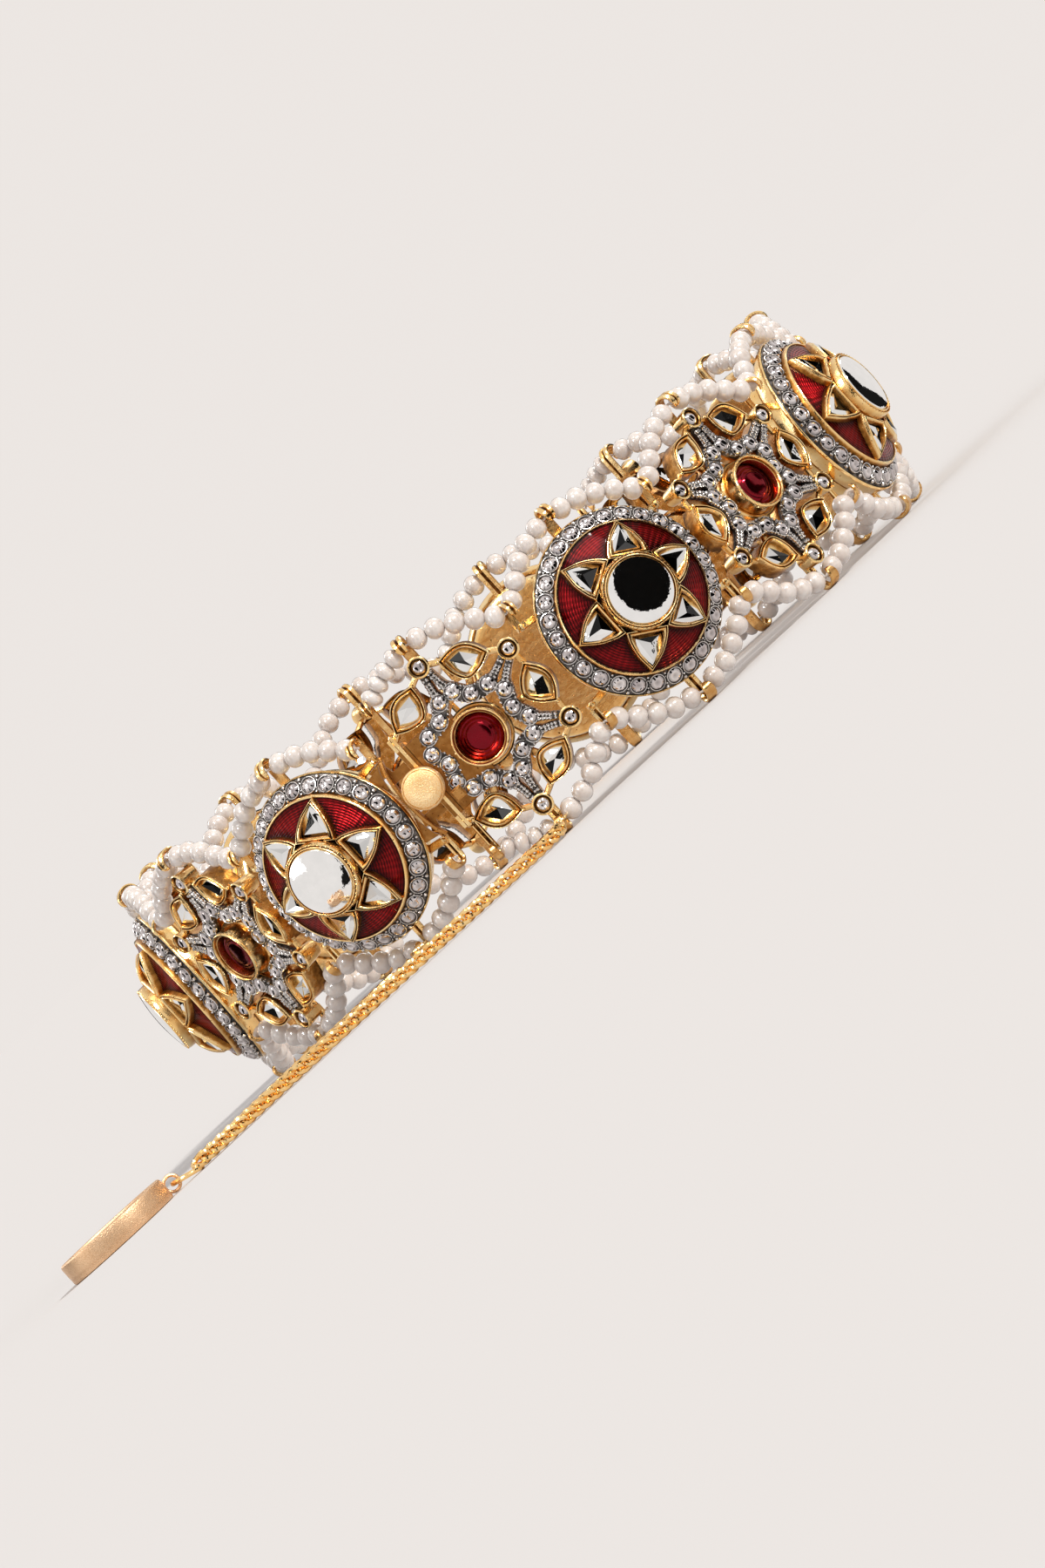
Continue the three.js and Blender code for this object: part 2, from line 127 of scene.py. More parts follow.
def unit(vectors):
    vectors = np.asarray(vectors, float)
    return vectors / np.linalg.norm(vectors, axis=-1, keepdims=True)


def polar(radius, angle):
    return radius * cos(angle), radius * sin(angle)


def circle(radius, sides, start=0.0):
    angles = start + np.arange(sides) * FULL_TURN / sides
    return np.stack([radius * np.cos(angles), radius * np.sin(angles)], 1)


def rectangle(x0, x1, y0, y1):
    return [(x0, y0), (x1, y0), (x1, y1), (x0, y1)]


def level(outline, height):
    return np.column_stack([outline, np.full(len(outline), height)])


def loft(rings, first=False, last=False, closed=False):
    """Faces between loops of equal length, with caps over the first and last loop if asked."""
    rings = np.asarray(rings, float)
    rows, columns = rings.shape[:2]
    faces = []
    for i in range(rows if closed else rows - 1):
        low, high = i * columns, (i + 1) % rows * columns
        for k in range(columns):
            m = (k + 1) % columns
            faces.append((low + k, low + m, high + m, high + k))
    if first:
        faces.append(tuple(reversed(range(columns))))
    if last:
        faces.append(tuple((rows - 1) * columns + k for k in range(columns)))
    return rings.reshape(-1, 3), faces


def darks(profile, repeats):
    """A profile's dark marks (painted shade, over some oxide on metal), which stand third in its rows; a row
    without one is unmarked.
    """
    return np.repeat([row[2] if len(row) > 2 else 0.0 for row in profile], repeats)


def lathe(shape, profile, sides, first=False, last=False, centre=(0, 0)):
    """Turns (radius, height, dark) rows about the z axis."""
    rings = [level(circle(row[0], sides) + centre, row[1]) for row in profile]
    return shape.add(*loft(rings, first, last), dark=darks(profile, sides))


def bridge(shape, outer, inner, profile, lift):
    """A wall between two outlines: rows of (share of the way in, height over lift, dark)."""
    rings = []
    for share, height, *_ in profile:
        ring = outer + (inner - outer) * share
        rings.append(level(ring, lift(ring) + height))
    return shape.add(*loft(rings), dark=darks(profile, len(outer)))


def smooth_curve(points, steps, closed=True):
    """Catmull-Rom through the points; a point given twice in a row is a corner."""
    points = np.asarray(points, float)
    before, after = (points[-1:], points[:2]) if closed else (points[:1], points[-1:])
    run = np.concatenate([before, points, after])
    curve = []
    for p0, p1, p2, p3 in zip(run, run[1:], run[2:], run[3:]):
        for t in [] if np.allclose(p1, p2) else np.arange(steps) / steps:
            curve.append(0.5 * (2 * p1 + (p2 - p0) * t + (2 * p0 - 5 * p1 + 4 * p2 - p3) * t ** 2
                                + (3 * p1 - p0 - 3 * p2 + p3) * t ** 3))
    return np.array(curve if closed else [*curve, points[-1]])


def frames_along(path, up):
    """Unit vectors (across, up) at each point of a path."""
    along = unit(np.gradient(np.asarray(path, float), axis=0))
    across = unit(np.cross(along, up))
    return across, np.cross(across, along)


def sections(path, section, across, above, scale):
    """A section of (across, above) points as a loop round each point of a path."""
    wide, high = np.asarray(section, float).T
    return [place + np.outer(wide * size[0], side) + np.outer(high * size[1], top)
            for place, side, top, size in zip(path, across, above, np.broadcast_to(scale, (len(path), 2)))]


def sweep(shape, path, section, up=UP, scale=1, **marks):
    """Moves a section along a path; scale may hold (across, up) per point."""
    rings = sections(np.asarray(path, float), section, *frames_along(path, up), scale)
    return shape.add(*loft(rings, True, True), **marks)


def loop_tube(path, radius, sides):
    """A closed wire along a loop that lies nearly in one plane."""
    path = np.asarray(path, float)
    along = unit(np.roll(path, -1, 0) - np.roll(path, 1, 0))
    flat = np.cross(path - path.mean(0), along).mean(0)
    across = unit(np.cross(along, unit(flat)))
    rings = sections(path, circle(radius, sides), across, np.cross(across, along), 1)
    return Shape().add(*loft(rings, closed=True))


def rod(shape, start, end, radius, **marks):
    """A round bar of eight sides between two points."""
    return sweep(shape, np.linspace(start, end, 3), circle(radius, 8), **marks)


def slab(shape, outline, low, high, edge, **marks):
    """A flat plate with its edges eased."""
    outline = np.asarray(outline, float)
    middle = outline.mean(0)
    eased = middle + (outline - middle) * (1 - edge / np.abs(outline - middle).max())
    rings = [level(eased, low), level(outline, low + edge), level(outline, high - edge), level(eased, high)]
    return shape.add(*loft(rings, True, True), **marks)


def ball(radius, rows, columns):
    """A sphere as (points, faces), its poles on z."""
    points = [(0, 0, radius)]
    for lean in pi * np.arange(1, rows) / rows:
        points.extend(level(circle(radius * sin(lean), columns), radius * cos(lean)).tolist())
    points.append((0, 0, -radius))
    faces = [(0, 1 + k, 1 + (k + 1) % columns) for k in range(columns)]
    for base in range(1, 1 + (rows - 2) * columns, columns):
        for k in range(columns):
            m = (k + 1) % columns
            faces.append((base + k, base + columns + k, base + columns + m, base + m))
    base, end = 1 + (rows - 2) * columns, len(points) - 1
    faces.extend((base + k, end, base + (k + 1) % columns) for k in range(columns))
    return np.array(points, float), faces


def matrix_of(x_axis, y_axis, z_axis, origin):
    matrix = np.eye(4)
    matrix[:3, 0], matrix[:3, 1], matrix[:3, 2], matrix[:3, 3] = x_axis, y_axis, z_axis, origin
    return matrix


def moved(matrix, points):
    return np.asarray(points, float) @ matrix[:3, :3].T + matrix[:3, 3]


def turned(angle):
    """A turn about a station's z axis."""
    c, s = polar(1, angle)
    return matrix_of((c, s, 0), (-s, c, 0), UP, (0, 0, 0))


def standing(place, normal, spin=0.0):
    """Puts a flat thing at a place, facing along normal and spun about it."""
    normal = unit(normal)
    side = unit(np.cross((0, 1, 0) if abs(normal[1]) < 0.9 else (1, 0, 0), normal))
    return matrix_of(side, np.cross(normal, side), normal, place) @ turned(spin)


def station_matrix(index):
    c, s = polar(1, (index - 0.5) * PITCH)
    origin = (RING_X + s * BACK_RADIUS, RING_Y - c * BACK_RADIUS, MIDDLE_HEIGHT)
    return matrix_of((c, s, 0), UP, (s, -c, 0), origin)


def distances(path):
    """How far along a path each of its points lies."""
    return np.concatenate([[0], np.cumsum(np.linalg.norm(np.diff(path, axis=0), axis=1))])


def along_path(path, distance):
    """The place and the heading at a distance along a path."""
    reached = distances(path)
    spot, ahead = (np.array([np.interp(far, reached, column) for column in path.T])
                   for far in (distance, distance + 0.05))
    return spot, unit(ahead - spot)


# ---- stones

FACETS = {"smooth": False, "turn_out": False}
FAINT_REFLECTION = 0.25          # how strong the painted dark reflection on a pale stone's deep facets is, against another's
# how dark the painted reflection is on the deep facets, and on the other facets
DEEP_SHADES, LIGHT_SHADES = (0.88, 1.0), (0.0, 0.16)
TWO_DEEP = 0.6              # the share of stones with two deep facets and not one


def brilliant(radius, height, dip):
    """A round stone: girdle, crown, and a table whose facets fall to a point as its pavilion shows."""
    girdle = level(circle(radius, 16), 0)
    breaks = level(circle(radius * 0.8, 8, pi / 8), height * 0.62)
    table = level(circle(radius * 0.56, 8), height)
    points = np.concatenate([girdle, breaks, table, [[0, 0, height - dip]]])
    faces = []
    for i in range(8):
        left, right, crown, corner, next_corner = 2 * i, (2 * i + 2) % 16, 16 + i, 24 + i, 24 + (i + 1) % 8
        faces += [(left, left + 1, crown), (left + 1, right, crown), (crown, next_corner, corner),
                  (corner, left, crown), (next_corner, crown, right), (corner, next_corner, 32)]
    # painted reflections: a dark girdle, a lighter crown, a clear table and a dim middle
    dark = np.concatenate([np.full(16, 0.8), np.full(8, 0.3), np.zeros(8), [0.45]])
    return Shape().add(points, faces, dark=dark, **FACETS)


def foil_stone(outline, middle, corners, lift, pale, seat, rise, dip, bevel, lean):
    """A flat-cut stone over foil: a bevel round it, then a few large facets that meet off its middle.

    corners are the outline's points that the facets' own corners lie inwards of, and pale is the
    share of the stones whose painted dark reflection stays faint. The stone rises from its seat, a height
    over lift.
    """
    count, sides = len(outline), len(corners)
    table = middle + (outline[corners] - middle) * bevel
    apex = middle + np.array([rng.uniform(-1, 1), rng.uniform(-1, 1)]) * lean
    heights = lift(table) + seat + rise + np.array([rng.uniform(-0.5, 0.5) for _ in corners]) * dip
    tip = np.append(apex, lift(apex[None])[0] + seat + rise - dip)
    points = np.concatenate([level(outline, lift(outline) + seat), level(table, heights), [tip]])

    apart = (np.arange(count)[:, None] - corners) % count
    nearest = count + np.minimum(apart, -apart % count).argmin(1)
    faces = []
    for k in range(count):
        j = (k + 1) % count
        near, far = nearest[k], nearest[j]
        faces.append((k, j, near) if near == far else (k, j, far, near))
    shape = Shape().add(points, faces, **FACETS)
    # one or two facets are marked dark, a painted dark reflection; the rest stay nearly clear
    first = rng.randrange(sides)
    deep = {first, (first + 1) % sides} if rng.random() < TWO_DEEP else {first}
    strength = FAINT_REFLECTION if rng.random() < pale else 1.0
    for c in range(sides):
        facet = [points[count + c], points[count + (c + 1) % sides], tip]
        shade = rng.uniform(*DEEP_SHADES) * strength if c in deep else rng.uniform(*LIGHT_SHADES)
        shape.add(facet, [(0, 1, 2)], dark=shade, **FACETS)
    return shape


def round_stone(radius, rows, sides):
    """A round stone cut in steps: rows of (share of the radius, height), the last one its table."""
    rings = [level(circle(radius * share, sides, (i % 2) * pi / sides), height)
             for i, (share, height) in enumerate(rows)]
    return Shape().add(*loft(rings, last=True), **FACETS)


def cabochon(radius, foot, bevel, curve):
    """A polished low dome of the given radius of curve that rises from a short bevel."""
    edge, step = radius - bevel, 0.1
    rows = [(radius, foot), (radius - 0.02, foot + step), (edge, foot + step + bevel)]
    rows += [(edge * share, foot + step + bevel + (edge ** 2 - (edge * share) ** 2) / (2 * curve))
             for share in (0.98, 0.9, 0.8, 0.7, 0.6, 0.5, 0.4, 0.3, 0.2, 0.1)]
    return lathe(Shape(), rows, 80, last=True)


# ---- pieces

shapes = defaultdict(Shape)         # by the name of the piece that each becomes
PAVE_STONE, COLLET_STONE = 0.57, 0.56           # radii
CROWN, CROWN_SHARES, TABLE_DIPS = 0.2, (0.85, 1.15), (0.1, 0.2)
# a small stone's cup: how far each row is out from the stone's edge, its height and its dark, painted shade
# at its foot and under the stone
CUP = [(0.12, -0.3, 1), (0.11, 0.02, 0.5), (0.08, 0.08), (0.03, 0.09), (-0.01, 0.04, 0.7), (-0.03, -0.05, 1)]
BEAD = ball(0.13, 5, 7)


def bead(shape, place, size=1.0, normal=UP, **marks):
    points, faces = BEAD
    return shape.add(moved(standing(place, normal), points * size), faces, turn_out=False, **marks)


def small_stone(stones, place, normal=UP, radius=PAVE_STONE, metal=None):
    """One round stone, and a low cup round it if there is a pave metal to add that to."""
    seat = standing(place, normal, rng.uniform(0, SIXTH))
    cut = brilliant(radius, CROWN * rng.uniform(*CROWN_SHARES), rng.uniform(*TABLE_DIPS))
    stones.stamp(cut, seat, rng.random(), keep_local=False)
    if metal:
        ring = lathe(Shape(), [(radius + out, *rest) for out, *rest in CUP], 16)
        metal.stamp(ring, seat, rng.random(), keep_local=False)


# ---- medallion

RIM, RING, BEZEL = 6.95, 5.6, 2.8
FIELD_EDGE, FIELD_TOP = 3.56, 4.85
PAVE_COUNT, PAVE_ORBIT = 28, 6.3
RIM_HEIGHT, RING_HEIGHT = 2.45, 3.3
PAVE_SLOPE = (RING_HEIGHT - RIM_HEIGHT) / (RIM - RING)
PETAL_MIDDLE = np.array([3.9, 0.0])
# dark marks in these profiles are painted shade over some oxide: in grooves and under rims, nearly black on
# the pave band's floor, and a third dark over the whole back plate
BODY = [(0.01, 0, 0.34), (5.7, 0, 0.34), (6.1, 0.03, 0.3), (6.3, 0.16), (6.38, 0.4), (6.42, 0.85, 0.1),
        (6.44, 0.98, 0.9), (6.5, 1.02, 0.9), (6.58, 1.08, 0.2), (6.78, 1.6), (6.98, 2.05), (7, 2.16),
        (6.99, 2.28), (6.95, 2.34), (6.9, 2.33, 0.2), (6.87, 2.26, 0.7), (6.84, 2.1, 1)]
FIELD_RING = [(5.75, 3.1, 1), (5.74, 3.42, 0.7), (5.71, 3.6, 0.1), (5.65, 3.68), (5.58, 3.68),
              (5.53, 3.6, 0.2), (5.5, 3.4, 0.9)]
STONE_RING = [(2.9, 4.5, 0.9), (2.89, 5, 0.7), (2.87, 5.6, 0.2), (2.85, 5.82), (2.8, 5.93), (2.76, 5.94),
              (2.73, 5.86, 1), (2.7, 5.86, 1), (2.67, 6, 0.1), (2.62, 6.05), (2.58, 6.03),
              (2.56, 5.94, 0.4), (2.55, 5.6, 0.9)]
PAVE_BAND = [(6.88, 2.2, 0.8), (6.85, 2.36, 0.8), (6.6, 2.4 + 0.24 * PAVE_SLOPE, 0.8), (5.8, 3.14, 0.8),
             (5.74, 3.16, 1)]
PETAL_WALL = [(0, -0.3, 0.9), (0, 0.25, 0.6), (0.02, 0.42, 0.1), (0.1, 0.5), (0.22, 0.5), (0.28, 0.36, 1),
              (0.44, 0.36, 1), (0.52, 0.52), (0.68, 0.56), (0.84, 0.5, 0.1), (0.95, 0.36, 0.5),
              (1, 0.12, 0.9)]
MILGRAIN = (2.78, 52, 5.93)                     # the stone ring's beads: radius, count and height
PAVE_BEADS = ((6.78, 1.25), (5.86, 1.0), (6.54, 0.8), (6.08, 0.6))      # radius and size
PALE_PETALS, USUAL_PALE = {0: 0.8, 2: 0.0}, 0.35        # the share of petal stones on a medallion whose painted dark reflection stays faint
CELL_SINK, UNDER_PETAL = 0.16, 0.45             # how far the enamel dips between petals and under them
DIP_INSET, WALL_SHADE = 0.28, 0.55              # how far inside a petal it dips, and how far walls shade it


def dome(points):
    """The enamel field's height over the station's back at (x, y)."""
    radius = np.hypot(points[:, 0], points[:, 1])
    share = np.clip((RING - radius) / (RING - BEZEL), 0, 1)
    return FIELD_EDGE + (FIELD_TOP - FIELD_EDGE) * share + 0.1 * np.sin(pi * share)


def petal_seat(points):
    """Petal stones lie flatter than the dome they are set in."""
    middle = dome(PETAL_MIDDLE[None])[0]
    return middle + 0.35 * (dome(points) - middle)


def pave_seat(radius, angle, lift):
    """A place on the sloping pave band and the way that the band faces there."""
    lean = atan(PAVE_SLOPE)
    height = RIM_HEIGHT + (RIM - radius) * PAVE_SLOPE + lift
    return (*polar(radius, angle), height), (*polar(sin(lean), angle), cos(lean))


def medallion_metal():
    """The gold body and rings, and the beaded pave band without its stones."""
    gold, pave = Shape(), Shape()
    lathe(gold, BODY, 96, first=True)
    lathe(gold, FIELD_RING, 96)
    lathe(gold, STONE_RING, 96)
    orbit, count, height = MILGRAIN
    for x, y in circle(orbit, count):
        # the stone ring's beads are marked a quarter dark: painted shade
        bead(gold, (x, y, height), 0.5, dark=0.25)
    lathe(pave, PAVE_BAND, 84)
    for i in range(PAVE_COUNT):
        for radius, size in PAVE_BEADS:
            place, outward = pave_seat(radius, (i + 0.5) * FULL_TURN / PAVE_COUNT, 0.02)
            bead(pave, place, size, outward, tint=rng.random())
    return gold, pave


def petal_outline(side):
    """The outline of the petal on +x from one side's points, its foot first and its tip last."""
    lower = smooth_curve([side[0], *side], 6, closed=False)
    return np.concatenate([lower, lower[:-1][::-1] * (1, -1)])


PETAL_OUTER = petal_outline([(2.72, -1.6), (3.45, -1.46), (4.55, -0.94), (5.62, 0)])
PETAL_INNER = petal_outline([(3.06, -1.12), (3.52, -1.08), (4.4, -0.7), (5.22, 0)])
PETAL_CORNERS = [0, (len(PETAL_INNER) - 1) // 2, len(PETAL_INNER) - 1]


def enamel():
    """The domed field; each cell between two petals sinks a little and is marked darker toward its walls and
    the outer ring, painted shade.
    """
    inner_edge, outer_edge = BEZEL, RING - 0.07
    walls = np.concatenate([moved(turned(i * SIXTH), level(PETAL_OUTER, 0))[:, :2] for i in range(6)])
    side = PETAL_OUTER[:len(PETAL_OUTER) // 2 + 1]
    rings, marks = [], []
    for radius in np.linspace(outer_edge, inner_edge, 16):
        ring = circle(radius, 192)
        angles = np.arctan2(ring[:, 1], ring[:, 0])
        cell = np.sin(3 * angles) ** 2 * sin(pi * (outer_edge - radius) / (outer_edge - inner_edge))
        folded = (angles + SIXTH / 2) % SIXTH - SIXTH / 2
        half = np.interp(radius * np.cos(folded), side[:, 0], -side[:, 1], right=0)
        under_petal = radius * np.abs(np.sin(folded)) < half - DIP_INSET
        rings.append(level(ring, dome(ring) - CELL_SINK * cell - UNDER_PETAL * under_petal))
        # painted shade: darker near the petal walls and the outer ring
        reach = np.sqrt(((ring[:, None] - walls[None]) ** 2).sum(2)).min(1)
        reach = np.minimum(reach, outer_edge - radius + 0.08)
        marks.append(np.clip(1.1 - reach / WALL_SHADE, 0, 1))
    return Shape().add(*loft(rings), dark=np.concatenate(marks), turn_out=False)


MEDALLION_GOLD, MEDALLION_PAVE = medallion_metal()
petal_wall = bridge(Shape(), PETAL_OUTER, PETAL_INNER, PETAL_WALL, dome)
for turn in range(6):
    MEDALLION_GOLD.stamp(petal_wall, turned(turn * SIXTH), keep_local=False)
MEDALLION_ENAMEL = enamel()

CURL, STRIP = 0.7, 0.3      # a hook's radius round its thread and the thickness of its strip
CURL_END, CURL_RISE = 1.25 * pi, 1.3    # the angle that it ends at, and how much its upper half is drawn out
HOOK_TIP = [(0.98, 1.0), (0.9, 0.94), (0.72, 0.76), (0.4, 0.4)]     # how the strip's end narrows
GROOVE_HALF, GROOVE_DEPTH = 0.13, 0.1


def strip_hook(shape, x, root, thread_y, width, edge):
    """A grooved flat strip that runs out under the thread and curls back over it."""
    straight = [(y, -CURL) for y in np.linspace(root, thread_y, 5)]
    curl = [(thread_y + CURL * sin(angle), -CURL * cos(angle) * (1 if angle < pi / 2 else CURL_RISE))
            for angle in np.linspace(0, CURL_END, 16)[1:]]
    path = np.array([(x, edge * y, THREAD_HEIGHT + z) for y, z in straight + curl])
    half, thin, soft = width / 2, STRIP / 2, 0.09
    right = [(0.06, GROOVE_DEPTH - thin), (GROOVE_HALF, -thin), (half - soft, -thin), (half, soft - thin),
             (half, thin - soft), (half - soft, thin)]
    section = [(-x, y) for x, y in right[3::-1]] + right + [(-x, y) for x, y in right[:3:-1]]
    scale = np.ones((len(path), 2))
    scale[-4:] = HOOK_TIP
    across = np.broadcast_to((1.0, 0.0, 0.0), path.shape)
    rings = sections(path, section, across, unit(np.cross(across, np.gradient(path, axis=0))), scale)
    # dark marks: the groove fully dark, painted shade over oxide, and one whole face a third dark, painted
    # shade on that side
    dark = np.full((len(path), len(section)), 0.05)
    dark[:, 3:5] = 1.0
    dark[:, 8:] = 0.35
    return shape.add(*loft(rings, True, True), dark=dark.ravel(), tint=rng.random())


ARM = ((5.0, 3.55), (6.2, 3.7), (7.2, 3.85))
ARM_SECTION = [(-0.3, -0.17), (0.3, -0.17), (0.3, 0.12), (0.2, 0.2), (-0.2, 0.2), (-0.3, 0.12)]


def medallion_links():
    """Middle hooks, side arms and the hooks that stand on them."""
    gold = Shape()
    for edge in (1, -1):
        strip_hook(gold, 0, 6.0, MID_THREAD, 0.9, edge)
        for side in (1, -1):
            strip_hook(gold, side * 6.95, 3.9, JOINT_THREAD, 0.7, edge)
            bar = [(side * x, edge * y, THREAD_HEIGHT - CURL) for x, y in ARM]
            # arms and their beads are marked a little dark: painted shade
            sweep(gold, bar, ARM_SECTION, dark=0.15, tint=rng.random())
            bead(gold, (side * 6.9, edge * 3.75, THREAD_HEIGHT - 0.5), 2.2, dark=0.1)
    return gold


def build_medallion(index):
    matrix = station_matrix(index)
    tint = index / STATIONS
    shapes["medallion_gold"].stamp(MEDALLION_GOLD, matrix, tint)
    shapes["medallion_gold"].stamp(medallion_links(), matrix, tint)
    shapes["medallion_pave_bands"].stamp(MEDALLION_PAVE, matrix, tint)
    shapes["medallion_enamel"].stamp(MEDALLION_ENAMEL, matrix, tint)
    cups, stones = Shape(), Shape()
    for i in range(PAVE_COUNT):
        small_stone(stones, *pave_seat(PAVE_ORBIT, i * FULL_TURN / PAVE_COUNT, 0.03), metal=cups)
    shapes["medallion_pave_bands"].stamp(cups, matrix)
    shapes["medallion_pave_stones"].stamp(stones, matrix)
    pale = PALE_PETALS.get(index, USUAL_PALE)
    for i in range(6):
        stone = foil_stone(PETAL_INNER, PETAL_MIDDLE, PETAL_CORNERS, petal_seat, pale, seat=0.16, rise=0.16,
                           dip=0.1, bevel=0.76, lean=0.22)
        shapes["medallion_petal_stones"].stamp(stone, matrix @ turned(i * SIXTH), rng.random())
    shapes["medallion_centre_stones"].stamp(cabochon(2.56, foot=5.82, bevel=0.14, curve=12.0), matrix, tint)


# ---- floral

DROP_ORBIT = 5.8
COLLET_ORBIT = 6.6
PAVE_TOP = 2.1
# dark marks in these profiles are painted shade over some oxide: in grooves, at feet and inside rims
COLLET = [(0.45, 0.8, 0.3), (0.62, 0.85, 0.3), (0.7, 1.3, 0.3), (0.78, 2, 0.1), (0.83, 2.3), (0.82, 2.42),
          (0.75, 2.48), (0.68, 2.47), (0.63, 2.36, 0.5), (0.6, 2.2, 1)]
COLLAR = [(1.6, 0.75, 0.4), (2.1, 0.8, 0.4), (2.16, 1.4, 0.4), (2.1, 2.1, 0.3), (2.12, 2.7, 0.1),
          (2.14, 2.98), (2.12, 3.13), (2.06, 3.2), (1.98, 3.2), (1.92, 3.12, 0.1), (1.89, 2.98, 0.8),
          (1.84, 2.95, 0.9), (1.8, 2.93), (1.77, 2.75, 0.3), (1.75, 2.2, 0.9)]
COLLAR_RING = [(2.25, 1.35, 0.3), (2.4, 1.45, 0.1), (2.42, 1.75, 0.1), (2.3, 1.85, 0.3), (2.15, 1.85, 0.6)]
DROP_WALL = [(0, 0.8, 0.9), (0, 1.5, 0.7), (0, 2.1, 0.35), (0.03, 2.3), (0.12, 2.38), (0.22, 2.36),
             (0.28, 2.2, 1), (0.46, 2.2, 1), (0.54, 2.36), (0.68, 2.42), (0.84, 2.34), (0.95, 2.18, 0.4),
             (1, 1.9, 0.9)]
RUBY_CUT = [(1, 2.2), (0.99, 2.35), (0.86, 2.52), (0.8, 2.5), (0.7, 2.62), (0.64, 2.6), (0.55, 2.7),
            (0.5, 2.68), (0.48, 2.69)]
ARC = [(5.28, -2.72), (4.45, -2.12), (3.55, -1.25), (3.1, 0), (3.55, 1.25), (4.45, 2.12), (5.28, 2.72)]
ARC_TOP = [(-1, -0.45), (-1, -0.08), (-0.8, 0.04), (0, 0.09), (0.8, 0.04), (1, -0.08), (1, -0.45)]
ARC_BASE = [(-0.9, -1.4), (-1, -0.9), (-1.06, -0.45), (-1, -0.32), (1, -0.32), (1.06, -0.45),
            (1, -0.9), (0.9, -1.4)]
ARC_STONES = ((3.1, 0.0), (3.76, -0.355), (3.76, 0.355))        # (reach, angle off the arc's middle)
ARC_NARROWS = 4.15          # from here out an arc holds beads in place of stones
BEAD_PITCH = 0.26
LOW_BEAD = 0.04                                 # how high beads lie beside stones
BEAD_LIFTS, BEAD_SIZES = (0.06, 0.14), (1.15, 1.5)      # beads that take the stones' place


def flat_lift(points):
    return np.zeros(len(points))


def drop_outline(half, out, back, middle):
    """An outline of the drop setting on +x, with two corners between its outer bow and its back."""
    corner, out_bow, back_bow = np.array([middle, half]), middle + out * 0.72, middle - back * 0.62
    points = [corner * (1, -1), corner * (1, -1), (out_bow, -half * 0.5), (middle + out, 0),
              (out_bow, half * 0.5), corner, corner, (back_bow, half * 0.6), (middle - back, 0),
              (back_bow, -half * 0.6)]
    return smooth_curve(points, 5)


DROP_OUTER = drop_outline(1.9, 1.0, 1.66, DROP_ORBIT)
DROP_INNER = drop_outline(1.36, 0.66, 1.28, DROP_ORBIT - 0.02)
DROP_CORNERS = [0, 12, 20, 34]


def drop_setting():
    """The drop setting on +x, with the claws at its ends and the bars that hold it."""
    drop = bridge(Shape(), DROP_OUTER, DROP_INNER, DROP_WALL, flat_lift)
    for edge in (1, -1):
        # claws and bar are marked a little dark: painted shade
        rod(drop, (5.78, edge * 1.7, 1.75), (5.72, edge * 2.65, 1.75), 0.24, dark=0.2)
        bead(drop, (5.8, edge * 1.86, 2.2), 1.3)
    return rod(drop, (4.25, 0, 1.5), (3.6, 0, 1.5), 0.3, dark=0.4)


def paved_arc(gold, pave, turn, side_start, side_end):
    """A paved arc that cups a drop, from collet to collet, or cut short where a collet is missing."""
    path = smooth_curve(ARC[0 if side_start else 2:7 if side_end else 5], 9, closed=False)
    reach = np.hypot(path[:, 0], path[:, 1])
    wide = np.interp(reach, (3.0, 3.9, 4.5, 6.0), (0.62, 0.6, 0.3, 0.25))
    lifted = level(path, PAVE_TOP)
    scale = level(wide[:, None], 1)
    # the arc's paved floor is marked mostly dark and its gold base half dark: painted shade
    one_pave = sweep(Shape(), lifted, ARC_TOP, scale=scale, dark=0.8)
    one_gold = sweep(Shape(), lifted, ARC_BASE, scale=scale, dark=0.5)
    across, _ = frames_along(lifted, UP)
    walked = 0.0
    for i in range(1, len(lifted)):
        walked += np.linalg.norm(lifted[i] - lifted[i - 1])
        if walked < BEAD_PITCH:
            continue
        walked = 0.0
        narrow = reach[i] > ARC_NARROWS
        for side in ((-0.5, 0.5) if narrow else (-0.9, 0.9)):
            lift = rng.uniform(*BEAD_LIFTS) if narrow else LOW_BEAD
            size = rng.uniform(*BEAD_SIZES) if narrow else 1.0
            bead(one_pave, lifted[i] + across[i] * wide[i] * side + (0, 0, lift), size, tint=rng.random())
    gold.stamp(one_gold, turned(turn), keep_local=False)
    pave.stamp(one_pave, turned(turn), keep_local=False)


